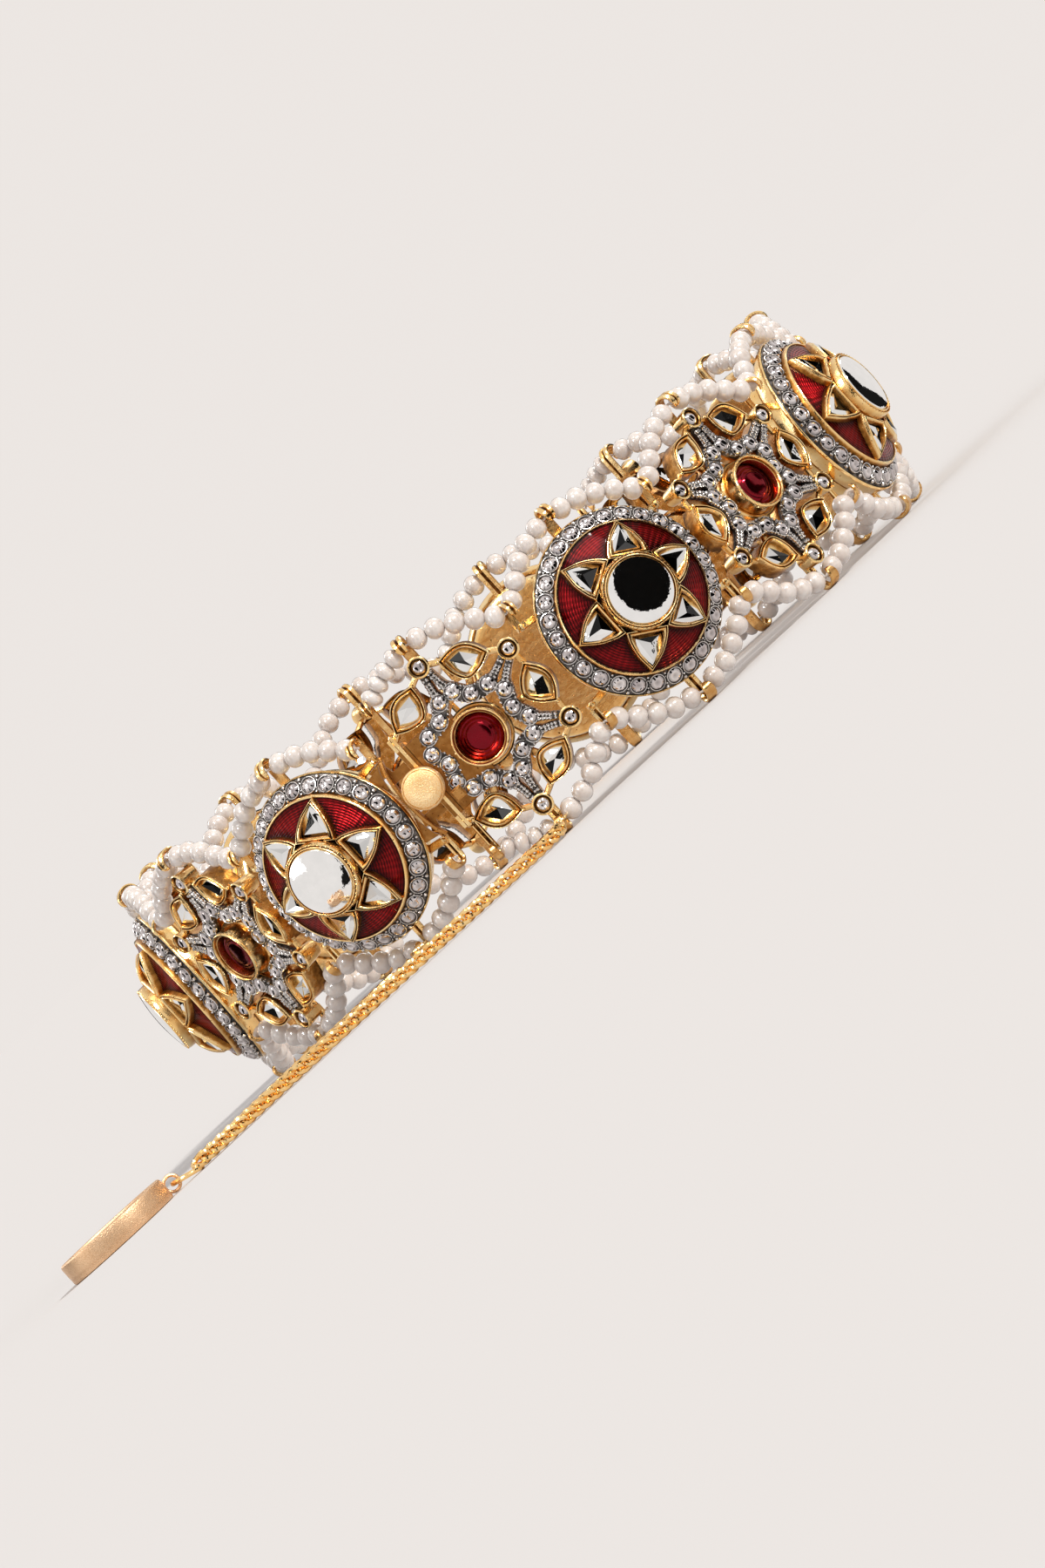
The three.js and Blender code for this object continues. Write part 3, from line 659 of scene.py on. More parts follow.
def build_floral(index):
    matrix = station_matrix(index)
    tint = index / STATIONS
    gold, pave, stones = Shape(), Shape(), Shape()
    lathe(gold, COLLAR, 64, first=True)
    lathe(gold, COLLAR_RING, 64)

    def stays(angle):
        """Whether nothing that the clasp or the hinge replaces lies this way."""
        return cos(angle) * END_SIDES.get(index, 0) < 0.8

    for i in range(6):
        angle, between = i * SIXTH, (i + 0.5) * SIXTH
        paved_arc(gold, pave, angle, stays(angle - SIXTH / 2), stays(angle + SIXTH / 2))
        for reach, lean in ARC_STONES:
            small_stone(stones, (*polar(reach, angle + lean), PAVE_TOP + 0.09), metal=pave)
        if stays(angle):
            gold.stamp(drop_setting(), turned(angle), keep_local=False)
            stone = foil_stone(DROP_INNER, np.array([DROP_ORBIT - 0.32, 0.0]), DROP_CORNERS, flat_lift, 0.25,
                               seat=1.98, rise=0.2, dip=0.16, bevel=0.8, lean=0.25)
            shapes["floral_drop_stones"].stamp(stone, matrix @ turned(angle), rng.random())
        if stays(between):
            spot = polar(COLLET_ORBIT, between)
            lathe(gold, COLLET, 24, first=True, centre=spot)
            small_stone(stones, (*spot, 2.24), radius=COLLET_STONE)
    for edge in (1, -1):
        strip_hook(gold, 0, COLLET_ORBIT, MID_THREAD, 0.9, edge)
    shapes["floral_gold"].stamp(gold, matrix, tint)
    shapes["floral_pave_arcs"].stamp(pave, matrix, tint)
    shapes["floral_pave_stones"].stamp(stones, matrix)
    shapes["floral_ruby_stones"].stamp(round_stone(1.74, RUBY_CUT, 20), matrix, tint)


for station in range(STATIONS):
    if station % 2 == 0:
        build_medallion(station)
    else:
        build_floral(station)

# ---- pearls

ORBIT = 8.3                 # the threads' radius round a station
PEARL = 0.83
PEARL_BALL = Shape().add(*ball(PEARL, 12, 16), turn_out=False)
PEARL_SIZES, PEARL_LENGTHS = (0.96, 1.03), (1.02, 1.08)     # across, over PEARL, and along, over the pitch
PEARL_SHIFTS, PEARL_LIFTS = (-0.05, 0.05), (-0.04, 0.04)    # how far off the thread, level and up
THREAD_RADIUS = 0.09
SKIPPED_START, SKIPPED_END, SKIPPED_JOINT = 0.5, 0.36, 0.12     # bare thread at hooks and joints
# strands: name, edge and half of the ring
STRANDS = [("top_right", 1, 0), ("top_left", 1, 1), ("bottom_right", -1, 0), ("bottom_left", -1, 1)]


def strand_path(index, side, edge):
    """A station's thread from its middle hook to its joint, in the station's frame."""
    plated = END_SIDES.get(index) == side
    last = (PLATE_HOOK_X, END_THREAD) if plated else (JOINT_X, JOINT_THREAD)
    arc = [polar(ORBIT, angle) for angle in np.radians(np.linspace(86, 61 if plated else 45, 12))]
    return np.array([(side * x, edge * y, THREAD_HEIGHT) for x, y in [(0, MID_THREAD), *arc, last]])


def build_strand(name, index, edge):
    """One station's part of a strand: its thread and pearls on both sides of the middle hook."""
    matrix = station_matrix(index)
    for side in (1, -1):
        path = strand_path(index, side, edge)
        length = distances(path)[-1]
        hooked = index % 2 == 0 or END_SIDES.get(index) == side
        end = length - (SKIPPED_END if hooked else SKIPPED_JOINT)
        count = 5 if length > 6.5 else 4
        pitch = (end - SKIPPED_START) / count
        for i in range(count):
            spot, direction = along_path(path, SKIPPED_START + (i + 0.5) * pitch)
            across = np.cross(direction, UP)
            size = rng.uniform(*PEARL_SIZES)
            long = min(pitch * 0.5 * rng.uniform(*PEARL_LENGTHS) / PEARL, size * 1.02)
            spot = spot + across * rng.uniform(*PEARL_SHIFTS) + (0, 0, rng.uniform(*PEARL_LIFTS))
            pearl = matrix_of(across * size, np.cross(direction, across) * size, direction * long, spot)
            shapes["pearls_" + name].stamp(PEARL_BALL, matrix @ pearl, rng.random())
        sweep(shapes["thread_" + name], moved(matrix, path), circle(THREAD_RADIUS, 6), matrix[:3, 2],
              tint=rng.random())


for name, edge, half in STRANDS:
    for i in range(HALF):
        build_strand(name, (half * HALF + i + 1) % STATIONS, edge)

# ---- clasp and hinge

PLATE_X, PLATE_HALF = 5.1, 4.15
BUTTON_X = 5.45
HINGE_PIN = (6.5, 0, 1.3)
LIP_SECTION = [(-0.14, -0.7), (0.14, -0.7), (0.14, 0.2), (0.08, 0.26), (-0.08, 0.26), (-0.14, 0.2)]
# the button's dark marks paint shade under its cap and in the groove at its rim
BUTTON = [(0.01, 1.15), (1.15, 1.15), (1.2, 1.2), (1.2, 1.45), (1.15, 1.5), (0.6, 1.5), (0.6, 2.95, 0.4),
          (1.38, 2.97, 0.2), (1.5, 3.05), (1.56, 3.2), (1.57, 3.7), (1.54, 3.86), (1.47, 3.95),
          (1.42, 3.98, 0.5), (1.39, 3.97, 0.6), (1.36, 3.99, 0.1), (0.7, 4), (0.01, 4)]


def blocks(shape, rows):
    """Eased blocks from rows of (x0, x1, y0, y1, z0, z1, how far its edges are eased, dark)."""
    for x0, x1, y0, y1, z0, z1, ease, dark in rows:
        slab(shape, rectangle(x0, x1, y0, y1), z0, z1, ease, dark=dark)
    return shape


def end_plate(side):
    """Two thin plates with a dark gap between them, painted shade, across the cut end of a floral."""
    shape = Shape()
    for shift, top in ((-0.17, 2.3), (0.17, 2.05)):
        x = side * PLATE_X + side * shift
        slab(shape, rectangle(x - 0.13, x + 0.13, -PLATE_HALF, PLATE_HALF), 0.05, top, 0.05, dark=0.1,
             tint=rng.random())
    x, half = side * PLATE_X, PLATE_HALF - 0.05
    # the block in the gap is marked mostly dark: painted shade
    blocks(shape, [(x - 0.2, x + 0.2, -half, half, 0.1, 1.9, 0.04, 0.7)])
    for edge in (1, -1):
        strip_hook(shape, side * PLATE_HOOK_X, 3.7, END_THREAD, 0.6, edge)
        bead(shape, (side * 5.0, edge * 4.1, 1.3), 2.6, dark=0.1)
    return shape


def clasp_box():
    """An open-ended box under the floral's left half, with a slot in its roof for the button's neck."""
    left, slot, right = -PLATE_X - 0.28, -BUTTON_X + 0.9, -0.8
    half, slot_half, wall = 3.1, 0.92, 0.38
    under, top, roof = 0.2, 2.0, (1.82, 2.13, 0.05, 0.35)
    # box parts are marked about a third dark: painted shade under the floral
    return blocks(Shape(), [
        (left, right, -half, half, 0.0, 0.35, 0.06, 0.35),
        (slot, right, -half, half, *roof),
        (left, slot, slot_half, half, *roof),
        (left, right, half - wall, half, under, top, 0.05, 0.4),
        (left, slot, -half, -slot_half, *roof),
        (left, right, -half, wall - half, under, top, 0.05, 0.4),
        (right - wall, right, -half, half, under, top, 0.05, 0.4),
        (-4.35, -3.45, -2.4, -1.5, 2.0, 2.95, 0.12, 0.05)])


def clasp_tongue():
    """The fork that leaves the first medallion, with a raised crescent lip at its root."""
    shape, low, high = Shape(), 0.82, 1.28
    arm = [(-7.1, 1.5), (-1.6, 1.5), (-1.6, 2.3), (-6.6, 2.3), (-6.9, 3.3), (-7.1, 3.35)]
    # the tongue's plates are marked a third dark: painted shade
    slab(shape, arm, low, high, 0.05, dark=0.3)
    slab(shape, [(x, -y) for x, y in reversed(arm)], low, high, 0.05, dark=0.3)
    bow = [(-7.0 - 0.715 * cos(a), 3.35 * sin(a)) for a in np.linspace(-1.35, 1.35, 15)]
    outer = [(-8.75 + 0.25 * cos(a), 3.2 * sin(a)) for a in np.linspace(1.2, -1.2, 9)]
    slab(shape, (bow + outer)[::-1], low, high + 0.02, 0.05, dark=0.3)
    lip = [(-6.45 - 0.75 * cos(a), 3.6 * sin(a), 2.0 - 0.5 * abs(sin(a)) ** 3)
           for a in np.linspace(-1.3, 1.3, 21)]
    return sweep(shape, lip, LIP_SECTION, dark=0.05)


def hinge_barrel():
    """Knuckles round a pin that stands across the band."""
    radius, half, knuckles, gap, shade_and_oxide, deep = 0.73, 2.98, 5, 0.12, 0.1, 0.8
    # grooves between knuckles are marked mostly dark and the knuckles a little: painted shade, with oxide in
    # the grooves
    rows = [(0.3, -half, deep), (radius - 0.08, -half, shade_and_oxide), (radius, -half + 0.08, shade_and_oxide)]
    for i in range(1, knuckles):
        y = -half + 2 * half * i / knuckles
        rows += [(radius, y - 0.09, shade_and_oxide), (radius - gap, y - 0.04, deep), (radius - gap, y + 0.04, deep),
                 (radius, y + 0.09, shade_and_oxide)]
    rows += [(radius, half - 0.08, shade_and_oxide), (radius - 0.08, half, shade_and_oxide), (0.3, half, deep)]
    pin = lathe(Shape(), rows, 28, first=True, last=True)
    return Shape().stamp(pin, matrix_of((1, 0, 0), (0, 0, -1), (0, 1, 0), HINGE_PIN), keep_local=False)


# the hinge's leaves are marked a quarter dark: painted shade
LEAVES = [(5.3, 6.1, -2.9, 2.9, 0.95, 1.35, 0.06, 0.25), (7.05, 8.2, -2.4, 2.4, 0.85, 1.25, 0.06, 0.25)]
clasp_frame, hinge_frame = (station_matrix(index) for index in END_SIDES)
for side, place in ((-1, clasp_frame), (1, hinge_frame)):
    shapes["end_plates"].stamp(end_plate(side), place)
shapes["end_plates"].stamp(blocks(Shape(), LEAVES), hinge_frame)
shapes["clasp_box"].stamp(clasp_box(), clasp_frame)
shapes["clasp_tongue"].stamp(clasp_tongue(), clasp_frame)
button = lathe(Shape(), BUTTON, 64, first=True, last=True, centre=(-BUTTON_X, 0))
shapes["clasp_push_button"].stamp(button, clasp_frame)
shapes["hinge_knuckles"].stamp(hinge_barrel(), hinge_frame)

# ---- safety chain and charm

CHAIN_PITCH = 0.9
CHAIN_LIE = 0.6
FIRST_LINKS = {0: 4.6, 1: 2.2}      # the long twisted link at each run's start, by its station
LINK_LENGTH, LINK_WIDTH, LINK_TWIST, LINK_WIRE = 0.74, 0.34, 0.2, 0.19
STRAND_ORBIT, STRAND_LAY = 0.27, 2.6        # the long link's strands: off its middle, and a turn's length
STRAND_STEP, STRAND_UP = 0.12, (0.3, 0.2, 0.93)
LINK_SPIN, LINK_SWAY, SWAY_STEP = radians(78), radians(14), 0.23
RUN_START = ((33.0, 0.95), (33.6, 0.7))     # how far out from the ring's middle and how high a run starts
JUMP_RADIUS, JUMP_WIRE, JUMP_REACH = 0.62, 0.13, 32.3
CHARM_PLACE = np.array([-23.8, -52.2])
CHARM_TOWARD = unit((-0.879, -0.477))
CHARM_RING, CHARM_RING_WIRE, CHARM_RING_TILT = 1.2, 0.2, radians(12)
CHARM_REACH = 6.4           # from the charm ring's middle to the disc's
COIN_LOOP, COIN_LOOP_PLACE = 0.6, (5.2, 0, 0.76)
SHORT_RUN = [(-7.8, -34.7), (-9.6, -37.8), (-12.6, -41.5), (-16.2, -45.5), (-19.6, -48.7), (-22.75, -51.1)]
LONG_RUN = [(7.7, -34.7), (5.8, -37.5), (1.4, -40.2), (-3.8, -42.3), (-9.4, -44.7), (-14.4, -47.4),
            (-18.6, -50.0), (-22.3, -52.1)]
# the charm's dark marks paint shade in the groove round its face and at its rim
DISC = [(0.01, 0.3), (3.6, 0.3), (3.78, 0.26), (3.88, 0.08), (4, 0), (4.5, 0), (4.66, 0.06),
        (4.7, 0.22), (4.68, 0.45, 0.15), (4.7, 0.65), (4.7, 1.45), (4.66, 1.62), (4.54, 1.7), (4.12, 1.7),
        (3.98, 1.66), (3.9, 1.52, 0.3), (3.86, 1.33, 0.6), (3.76, 1.3, 0.3), (3.2, 1.32), (3.12, 1.28, 0.3),
        (3.04, 1.32), (0.01, 1.33)]


def on_ring(x, y, z):
    return (x + RING_X, y + RING_Y, z)


def spun(direction, spin):
    """The level normal of a heading, turned about the heading."""
    across = unit(np.cross(direction, UP))
    return across * cos(spin) + np.cross(across, direction) * sin(spin)


def twisted_link(shape, route, length):
    """A long link whose two sides wind round each other along the route's start."""
    steps = int(length / STRAND_STEP)
    paths = [[], []]
    for start, path in zip((0, pi), paths):
        for share in np.arange(steps + 1) / steps:
            spot, direction = along_path(route, share * length)
            swell = STRAND_ORBIT * min(1.0, 0.35 + 8 * min(share, 1 - share))
            path.append(spot + spun(direction, start + share * length / STRAND_LAY * FULL_TURN) * swell)
    for path in paths:
        sweep(shape, path, circle(LINK_WIRE, 8), STRAND_UP, tint=rng.random())
        bead(shape, path[0], 1.8)
        bead(shape, path[-1], 1.8)


def chain_links(shape, index, run):
    """Curb links along a route that starts at a hook, each turned a little off the last in a slow sway."""
    out = station_matrix(index)[:2, 2]
    start = [on_ring(*out * reach, height) for reach, height in RUN_START]
    route = smooth_curve([*start, *(on_ring(x, y, CHAIN_LIE) for x, y in run)], 14, closed=False)
    t = np.arange(20) * FULL_TURN / 20
    link = loop_tube(np.column_stack([LINK_LENGTH * np.cos(t), LINK_WIDTH * np.sin(t),
                                      LINK_TWIST * np.sin(2 * t)]), LINK_WIRE, 7)
    first = FIRST_LINKS[index]
    twisted_link(shape, route, first)
    rest = distances(route)[-1] - first
    count = int(rest / CHAIN_PITCH)
    for i in range(count + 1):
        spot, direction = along_path(route, first + i * rest / count - (0.06 if i == count else 0))
        wide = spun(direction, LINK_SPIN + LINK_SWAY * sin(i * SWAY_STEP + index))
        shape.stamp(link, matrix_of(direction, wide, np.cross(direction, wide), spot), rng.random())
    jump = loop_tube(level(circle(JUMP_RADIUS, 24), 0), JUMP_WIRE, 8)
    place = matrix_of((*out, 0), (-out[1], out[0], 0), UP, on_ring(*out * JUMP_REACH, 1.0))
    shape.stamp(jump, place, rng.random())


def charm_matrix(distance, height, tilt=0.0):
    """A place beyond the chain's end, its x axis back toward the chain and sunk by the tilt."""
    x, y = CHARM_TOWARD
    leaned, y_axis = (-x * cos(tilt), -y * cos(tilt), -sin(tilt)), (y, -x, 0)
    place = on_ring(*CHARM_PLACE + CHARM_TOWARD * distance, height)
    return matrix_of(leaned, y_axis, np.cross(leaned, y_axis), place)


chain_links(shapes["chain_links_short"], 0, SHORT_RUN)
chain_links(shapes["chain_links_long"], 1, LONG_RUN)
ring_place = charm_matrix(0, CHARM_RING_WIRE + CHARM_RING * sin(CHARM_RING_TILT), CHARM_RING_TILT)
charm_ring = loop_tube(level(circle(CHARM_RING, 40), 0), CHARM_RING_WIRE, 10)
shapes["charm_jump_ring"].stamp(charm_ring, ring_place, 0.4)
coin = lathe(Shape(), DISC, 96, first=True, last=True)
coin_loop = level(circle(COIN_LOOP, 24), 0)[:, [0, 2, 1]] + COIN_LOOP_PLACE
coin.stamp(loop_tube(coin_loop, JUMP_WIRE, 8), np.eye(4))
shapes["charm_medal"].stamp(coin, charm_matrix(CHARM_REACH, 0.0), 0.2)

# ---- materials


class Value:
    """A number or colour that a material's nodes work out; sums and products make more nodes."""

    def __init__(self, tree, kind, inputs, output=0, **settings):
        made = tree.nodes.new("ShaderNode" + kind)
        for name, value in settings.items():
            setattr(made, name, value)
        for key, value in inputs.items():
            feed(made.inputs[key], value)
        self.tree, self.socket = tree, made.outputs[output]

    def maths(self, operation, other=0.0, clamp=False):
        return Value(self.tree, "Math", {0: self, 1: other}, operation=operation, use_clamp=clamp)

    def __add__(self, other):
        return self.maths("ADD", other)

    def __sub__(self, other):
        return self.maths("SUBTRACT", other)

    def __mul__(self, other):
        return self.maths("MULTIPLY", other)

    def between(self, low, high):
        """The value's share of the way from low to high, held between 0 and 1."""
        return Value(self.tree, "MapRange", {"Value": self, "From Min": low, "From Max": high})

    def mix(self, first, second):
        """The colour this share of the way from the first to the second."""
        return Value(self.tree, "Mix", {0: self, 6: first, 7: second}, 2, data_type="RGBA")


def feed(socket, value):
    """Links a value to a socket, or sets the socket to a number or a colour."""
    if isinstance(value, Value):
        value.tree.links.new(value.socket, socket)
    else:
        socket.default_value = (*value, 1.0) if socket.type == "RGBA" else value


class Material:
    """A new material, and the values that its shader's sockets can follow."""

    def __init__(self, name, **sockets):
        self.made = bpy.data.materials.new(name)
        self.made.use_nodes = True
        self.surface(**sockets)

    def surface(self, **sockets):
        shader = self.made.node_tree.nodes["Principled BSDF"]
        for key, value in sockets.items():
            feed(shader.inputs[key.replace("_", " ")], value)
        return self.made

    def value(self, kind, inputs, output=0, **settings):
        return Value(self.made.node_tree, kind, inputs, output, **settings)

    def mark(self, name, output="Fac"):
        return self.value("Attribute", {}, output, attribute_name=name)

    @cached_property
    def place(self):
        """Where noise is taken: a point's local place, shifted by its part's tint."""
        tint = self.mark("tint")
        shift = self.value("CombineXYZ", {0: tint * 31.0, 1: tint * 17.0, 2: tint * 23.0})
        return self.value("VectorMath", {0: self.mark("local", "Vector"), 1: shift}, operation="ADD")

    def noise(self, scale, detail=2.0):
        return self.value("TexNoise", {"Vector": self.place, "Scale": scale, "Detail": detail}, "Fac")

    def bump(self, height, strength, depth):
        return self.value("Bump", {"Height": height, "Strength": strength, "Distance": depth * MM})


def metal(name, light, deep, shade, oxide_and_shade_colour, rough, pits=0.66, cast=0.5, grain=0.12):
    """Plated metal: slow colour drift, cast-in unevenness, small dark pits, and dark-marked recesses and
    faces whose colour goes through the shade colour to the darkest one: painted shade, over real oxide."""
    made = Material(name, Metallic=1.0)
    slow, uneven, fine = made.noise(0.7, 3.0), made.noise(2.2, 3.0), made.noise(11.0)
    pitted = made.noise(4.2, 3.0).between(pits, pits + 0.05)
    dark = made.mark("dark")
    # the dark marks paint shade, with some oxide, broken up by the unevenness; the pits are real
    shade_and_oxide = dark * 0.35 + dark * uneven.between(0.15, 0.6) * 0.75
    pits_and_shade = shade_and_oxide.maths("MAXIMUM", pitted * 0.85, clamp=True)
    base = (slow + (fine - 0.5) * (grain * 2.2)).between(0.3, 0.7).mix(light, deep)
    shaded = pits_and_shade.between(0.0, 0.5).mix(base, shade)
    height = uneven * cast + fine * grain - pitted * 0.5
    return made.surface(Base_Color=pits_and_shade.between(0.4, 1.0).mix(shaded, oxide_and_shade_colour),
                        Roughness=pits_and_shade * 0.3 + fine * 0.12 + (rough - 0.05),
                        Normal=made.bump(height, 0.9, 0.06))


def stone(name, light, deep, rough=0.03, metallic=1.0, wave=0.02, **sockets):
    """A stone over foil: mirror-like facets whose tone changes a little from stone to stone; dark-marked
    facets are painted near black, a painted dark reflection.
    """
    made = Material(name, Metallic=metallic, Roughness=rough, **sockets)
    share = made.mark("tint") * 0.55 + made.noise(1.1).between(0.35, 0.7) * 0.45
    # dark marks paint facets near black: painted dark reflections
    foil = made.mark("dark").mix(share.mix(light, deep), (0.012, 0.013, 0.014))
    return made.surface(Base_Color=foil, Normal=made.bump(made.noise(2.6), 0.6, wave))


def enamel_material(name):
    """Red enamel over engraved metal: fine rings crossed by rays show through a smooth glaze."""
    made = Material(name, Metallic=1.0, Coat_Weight=0.15, Coat_Roughness=0.03)
    x, y = (made.value("SeparateXYZ", {0: made.mark("local", "Vector")}, axis) for axis in (0, 1))
    radius = (x * x + y * y).maths("SQRT")
    rings = (radius * 34.0 + made.noise(1.3) * 2.5).maths("SINE")
    rays = (y.maths("ARCTAN2", x) * 66.0).maths("SINE")
    lines = rings * 0.5 + rays * 0.22
    depth = made.noise(0.55).between(0.32, 0.68)
    shown = lines.between(-0.4, 1.0).mix(depth.mix((0.045, 0.001, 0.002), (0.19, 0.004, 0.007)),
                                         (0.42, 0.011, 0.014))
    # dark marks paint the enamel near black by its walls: painted shade
    edged = (made.mark("dark") * 0.95).mix(shown, (0.012, 0.001, 0.001))
    return made.surface(Base_Color=edged, Roughness=depth * 0.1 + 0.26,
                        Normal=made.bump(lines, 1.0, 0.045))


def pearl_material(name):
    """Nacre: cream, deeper on some pearls than on others, under a soft glaze."""
    made = Material(name, Subsurface_Weight=0.25, Subsurface_Scale=0.5 * MM, Coat_Weight=1.0,
                    Subsurface_Radius=(1.0, 0.8, 0.65), Coat_Roughness=0.05, Coat_IOR=1.8, Sheen_Weight=0.1)
    warm = made.mark("tint").mix((0.66, 0.61, 0.585), (0.73, 0.70, 0.68))
    cloud = made.noise(1.6, 3.0).between(0.35, 0.7)
    return made.surface(Base_Color=cloud.mix(warm, (0.60, 0.53, 0.49)), Roughness=cloud * 0.12 + 0.22,
                        Normal=made.bump(made.noise(3.0, 3.0), 0.5, 0.015))


# the gold's painted shade: amber in shallow recesses, near black in the deepest ones, over real oxide
OXIDE_AND_SHADE = (0.04, 0.013, 0.003)
AMBER_SHADE = (0.55, 0.24, 0.05)
gold = metal("polished_gold", (1.0, 0.80, 0.43), (1.0, 0.64, 0.24), AMBER_SHADE, OXIDE_AND_SHADE, 0.12, pits=0.68)
# a darker copy of the gold for the clasp's box and tongue under a floral: painted shade
shaded_gold = metal("inner_gold", (0.62, 0.32, 0.10), (0.44, 0.19, 0.045), (0.22, 0.08, 0.015), OXIDE_AND_SHADE, 0.26)
chain_gold = metal("chain_gold", (1.0, 0.74, 0.36), (0.94, 0.56, 0.19), AMBER_SHADE, OXIDE_AND_SHADE, 0.12,
                   pits=0.78, cast=0.15)
satin_gold = metal("satin_gold", (1.0, 0.79, 0.47), (0.93, 0.60, 0.27), AMBER_SHADE, OXIDE_AND_SHADE, 0.42,
                   pits=0.72, cast=0.12, grain=0.9)
rose_gold = metal("rose_gold", (0.82, 0.57, 0.36), (0.70, 0.45, 0.26), (0.42, 0.23, 0.12),
                  (0.12, 0.06, 0.03), 0.4, pits=0.76, cast=0.12, grain=0.5)
rhodium = metal("dark_rhodium", (0.80, 0.78, 0.765), (0.58, 0.555, 0.54), (0.24, 0.22, 0.21),
                (0.012, 0.010, 0.009), 0.14, pits=0.64, cast=0.7)
clear = stone("clear_foil", (0.95, 0.96, 0.96), (0.82, 0.84, 0.84), wave=0.008)
paving = stone("paving_foil", (0.90, 0.86, 0.86), (0.55, 0.50, 0.51))
ruby = stone("ruby_foil", (0.21, 0.002, 0.010), (0.12, 0.001, 0.005), rough=0.12, metallic=0.97,
             Coat_Weight=0.2, Coat_Roughness=0.04)
enamel_red = enamel_material("wine_enamel")
nacre = pearl_material("nacre")

# ---- objects


def linked(name, data):
    made = bpy.data.objects.new(name, data)
    bpy.context.scene.collection.objects.link(made)
    return made


def meshed(name, points, faces, material):
    """A new object from points in millimetres."""
    mesh = bpy.data.meshes.new(name)
    mesh.from_pydata((np.asarray(points, float) * MM).tolist(), [], faces)
    mesh.materials.append(material)
    return linked(name, mesh)


def piece(name, material, replaced=(), body="bangle", sharp=35):
    shape, rows = shapes[name], shapes[name].rows
    made = meshed(name, rows[:, :3], shape.faces, material)
    mesh = made.data
    mesh.polygons.foreach_set("use_smooth", shape.smooth)
    for mark, kind, field, columns in (("local", "FLOAT_VECTOR", "vector", slice(3, 6)),
                                       ("dark", "FLOAT", "value", 6), ("tint", "FLOAT", "value", 7)):
        values = rows[:, columns].astype(np.float32).ravel()
        mesh.attributes.new(mark, kind, "POINT").data.foreach_set(field, values)
    mesh.set_sharp_from_angle(angle=radians(sharp))
    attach(made, body)
    if replaced:
        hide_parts(*replaced)


def numbered(stem, count=range(1, HALF + 1)):
    return [f"{stem}_{i:02d}" for i in count]


piece("medallion_gold", gold, numbered("medallion_setting"))
piece("medallion_pave_bands", rhodium)
piece("medallion_pave_stones", paving)
piece("medallion_enamel", enamel_red, sharp=80)
piece("medallion_petal_stones", clear)
piece("medallion_centre_stones", clear, numbered("medallion_stone"))
piece("floral_gold", gold, numbered("floral_setting"))
piece("floral_pave_arcs", rhodium)
piece("floral_pave_stones", paving)
piece("floral_drop_stones", clear)
piece("floral_ruby_stones", ruby, numbered("ruby"))
piece("end_plates", gold)
piece("clasp_box", shaded_gold)
piece("clasp_tongue", shaded_gold)
piece("clasp_push_button", satin_gold, ["clasp_button"], body="button")
piece("hinge_knuckles", gold, ["hinge_barrel"])
for name, _, half in STRANDS:
    stem = "pearl_strand_" + name.split("_")[0]
    piece("pearls_" + name, nacre, numbered(stem, range(half * 4 + 1, half * 4 + 5)), sharp=80)
    piece("thread_" + name, nacre)
piece("chain_links_short", chain_gold, ["safety_chain_short"])
piece("chain_links_long", chain_gold, ["safety_chain_long"])
piece("charm_jump_ring", chain_gold, ["charm_ring"])
piece("charm_medal", rose_gold, ["charm_disc"])

# ---- floor, light and camera

AZIMUTH, ELEVATION, ROLL = radians(20.3), radians(0.6), radians(42.4)
CAMERA_DISTANCE = 900.0
LENS = 279.0
AIM_RIGHT, AIM_UP = 0.13, -6.75     # where the camera aims in the image, from the ring's middle
SKY = (0.84, 0.795, 0.765)
SUN_POWER, SUN_COLOUR = 2.4, (1.0, 0.95, 0.88)
SUN_FROM, SUN_DISTANCE = (0.62, 0.60, 0.50), 600
BLACK, DARK_CLOTH, CARD_GLOW = (0.006, 0.006, 0.006), (0.008, 0.008, 0.008), (1.0, 0.98, 0.95)
# screens: bearings of their two ends and how many degrees they rise to
SCREENS = [("right", 58, 84, 22), ("front", -4, 14, 20), ("left", -44, -33, 24), ("far_left", -122, -96, 20),
           ("far_right", 96, 124, 20), ("back", 160, 196, 20)]
SCREEN_NEAR, SCREEN_FAR, SCREEN_LIFT = 70.0, 450.0, 0.05
# glowing cards: bearing, rise in degrees, width, height and strength
BOX_DISTANCE = 620
BOXES = [("right", 34, 42, 230, 150, 5.0), ("left", -74, 20, 150, 240, 3.0), ("top", -10, 72, 260, 160, 3.0),
         ("back_right", 128, 40, 220, 160, 5.0), ("back_left", -142, 35, 220, 160, 5.0),
         ("glint", -24, 44, 150, 150, 22.0)]
DISC_BEARING, DISC_DISTANCE, DISC_RADIUS = radians(41), 15, 7.25
# the floor takes the sky's colour, so that the two meet without a line
FLOOR_COLOUR = tuple(sky / (sky + SUN_POWER * SUN_FROM[1] * tone / pi) for sky, tone in zip(SKY, SUN_COLOUR))
FLOOR = 4000                # half its side

to_camera = np.array([sin(AZIMUTH) * cos(ELEVATION), -cos(AZIMUTH) * cos(ELEVATION), sin(ELEVATION)])
flat_right = np.array([cos(AZIMUTH), sin(AZIMUTH), 0.0])
flat_up = np.cross(to_camera, flat_right)
target = np.array([RING_X, RING_Y, MIDDLE_HEIGHT])


def toward(right, up, back):
    return unit(flat_right * right + flat_up * up + to_camera * back)


def facing(direction, place, up=UP):
    """A frame whose z axis points along a unit direction and whose x axis is square to up."""
    side = unit(np.cross(up, direction))
    return matrix_of(side, np.cross(direction, side), direction, place)


def in_metres(matrix):
    return Matrix((matrix * np.array([[1, 1, 1, MM]])).tolist())


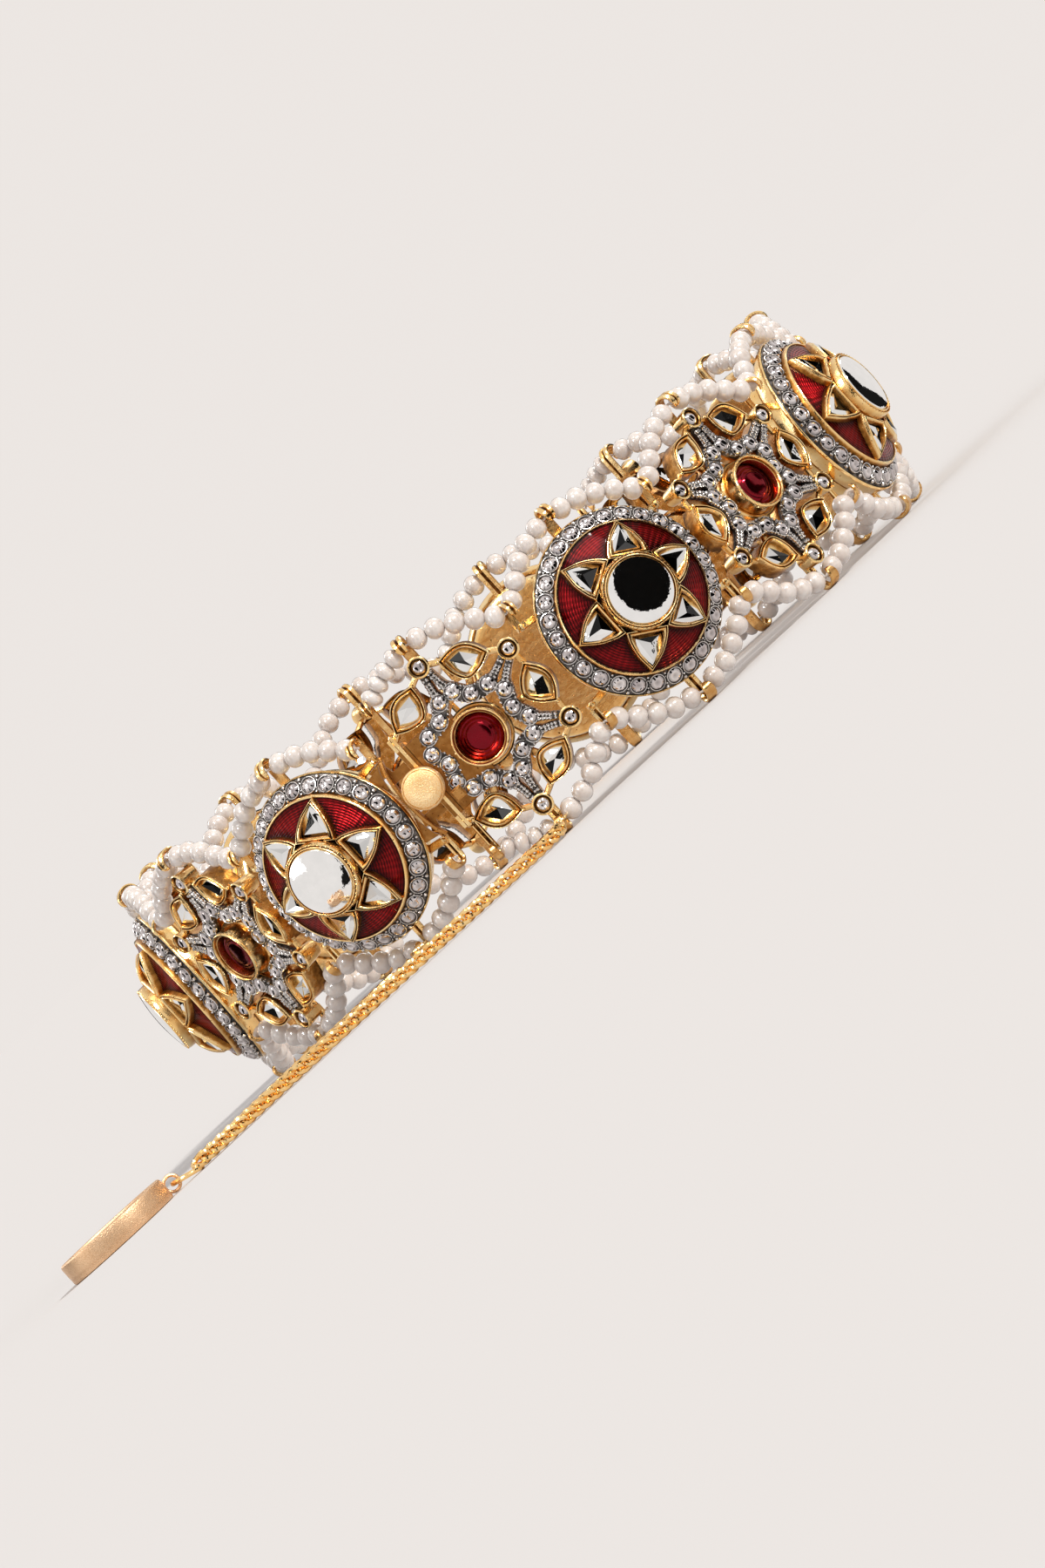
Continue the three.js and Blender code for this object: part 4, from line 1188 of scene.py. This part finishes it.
def matt(name, colour, rough, **sockets):
    return Material(name, Base_Color=colour, Roughness=rough, Specular_IOR_Level=0.0, **sockets).made


def staged(name, points, faces, material, only_reflected=True):
    """A thing round the part, which only polished surfaces see unless it is the floor."""
    made = meshed(name, points, faces, material)
    if only_reflected:
        made.visible_camera = made.visible_shadow = made.visible_diffuse = False


def dark_screen(name, start, end, rise):
    """A sector of black floor cloth with a wall at its far side."""
    points, faces = [], []
    top = SCREEN_FAR * tan(radians(rise))
    for bearing in np.radians(np.linspace(start, end, 9)):
        heading = flat_right * sin(bearing) + np.cross(flat_right, UP) * cos(bearing)
        for radius, height in ((SCREEN_NEAR, SCREEN_LIFT), (SCREEN_FAR, SCREEN_LIFT), (SCREEN_FAR, top)):
            points.append(on_ring(*heading[:2] * radius, height))
    for a in range(0, len(points) - 3, 3):
        faces += [(a, a + 1, a + 4, a + 3), (a + 1, a + 2, a + 5, a + 4)]
    staged(name, points, faces, matt(name + "_black", DARK_CLOTH, 0.95))


def reflected_card(name, place, outline, strength=0.0):
    """A glowing or black card, its outline in a frame that faces away from the part."""
    face = matt(name + "_face", BLACK, 0.9, Emission_Color=CARD_GLOW, Emission_Strength=strength)
    staged(name, moved(place, level(outline, 0)), [tuple(range(len(outline)))], face)


staged("floor", level(rectangle(-FLOOR, FLOOR, -FLOOR, FLOOR), 0), [(0, 1, 2, 3)],
       matt("pale_floor", FLOOR_COLOUR, 0.9), only_reflected=False)
for name, bearing, rise, width, height, strength in BOXES:
    bearing = radians(bearing)
    direction = toward(sin(bearing), tan(radians(rise)), cos(bearing))
    reflected_card("box_" + name, facing(direction, target + direction * BOX_DISTANCE),
                   rectangle(-width / 2, width / 2, -height / 2, height / 2), strength)
# a black disc close in front of the medallion at the front, on its right
direction = toward(sin(DISC_BEARING), 0.05, cos(DISC_BEARING))
middle = moved(station_matrix(2), (0, 0, 6.2))
reflected_card("disc_right", facing(direction, middle + direction * DISC_DISTANCE), circle(DISC_RADIUS, 64))
for name, start, end, rise in SCREENS:
    dark_screen("screen_" + name, start, end, rise)

sun = linked("key", bpy.data.lights.new("key", "SUN"))
sun.data.energy, sun.data.angle, sun.data.color = SUN_POWER, radians(8), SUN_COLOUR
direction = toward(*SUN_FROM)
sun.matrix_world = in_metres(facing(direction, target + direction * SUN_DISTANCE))

world = bpy.data.worlds.new("studio")
bpy.context.scene.world = world
world.use_nodes = True
feed(world.node_tree.nodes["Background"].inputs["Color"], SKY)

camera = linked("camera", bpy.data.cameras.new("camera"))
camera.data.lens = LENS
camera.data.clip_start, camera.data.clip_end = 0.01, 20.0
c, s = polar(1, ROLL)
image_right = flat_right * c - flat_up * s
image_up = flat_right * s + flat_up * c
eye = target + to_camera * CAMERA_DISTANCE
aim = target + image_right * AIM_RIGHT + image_up * AIM_UP
camera.matrix_world = in_metres(facing(unit(eye - aim), eye, image_up))
bpy.context.scene.camera = camera
bpy.context.scene.view_settings.view_transform = "Standard"
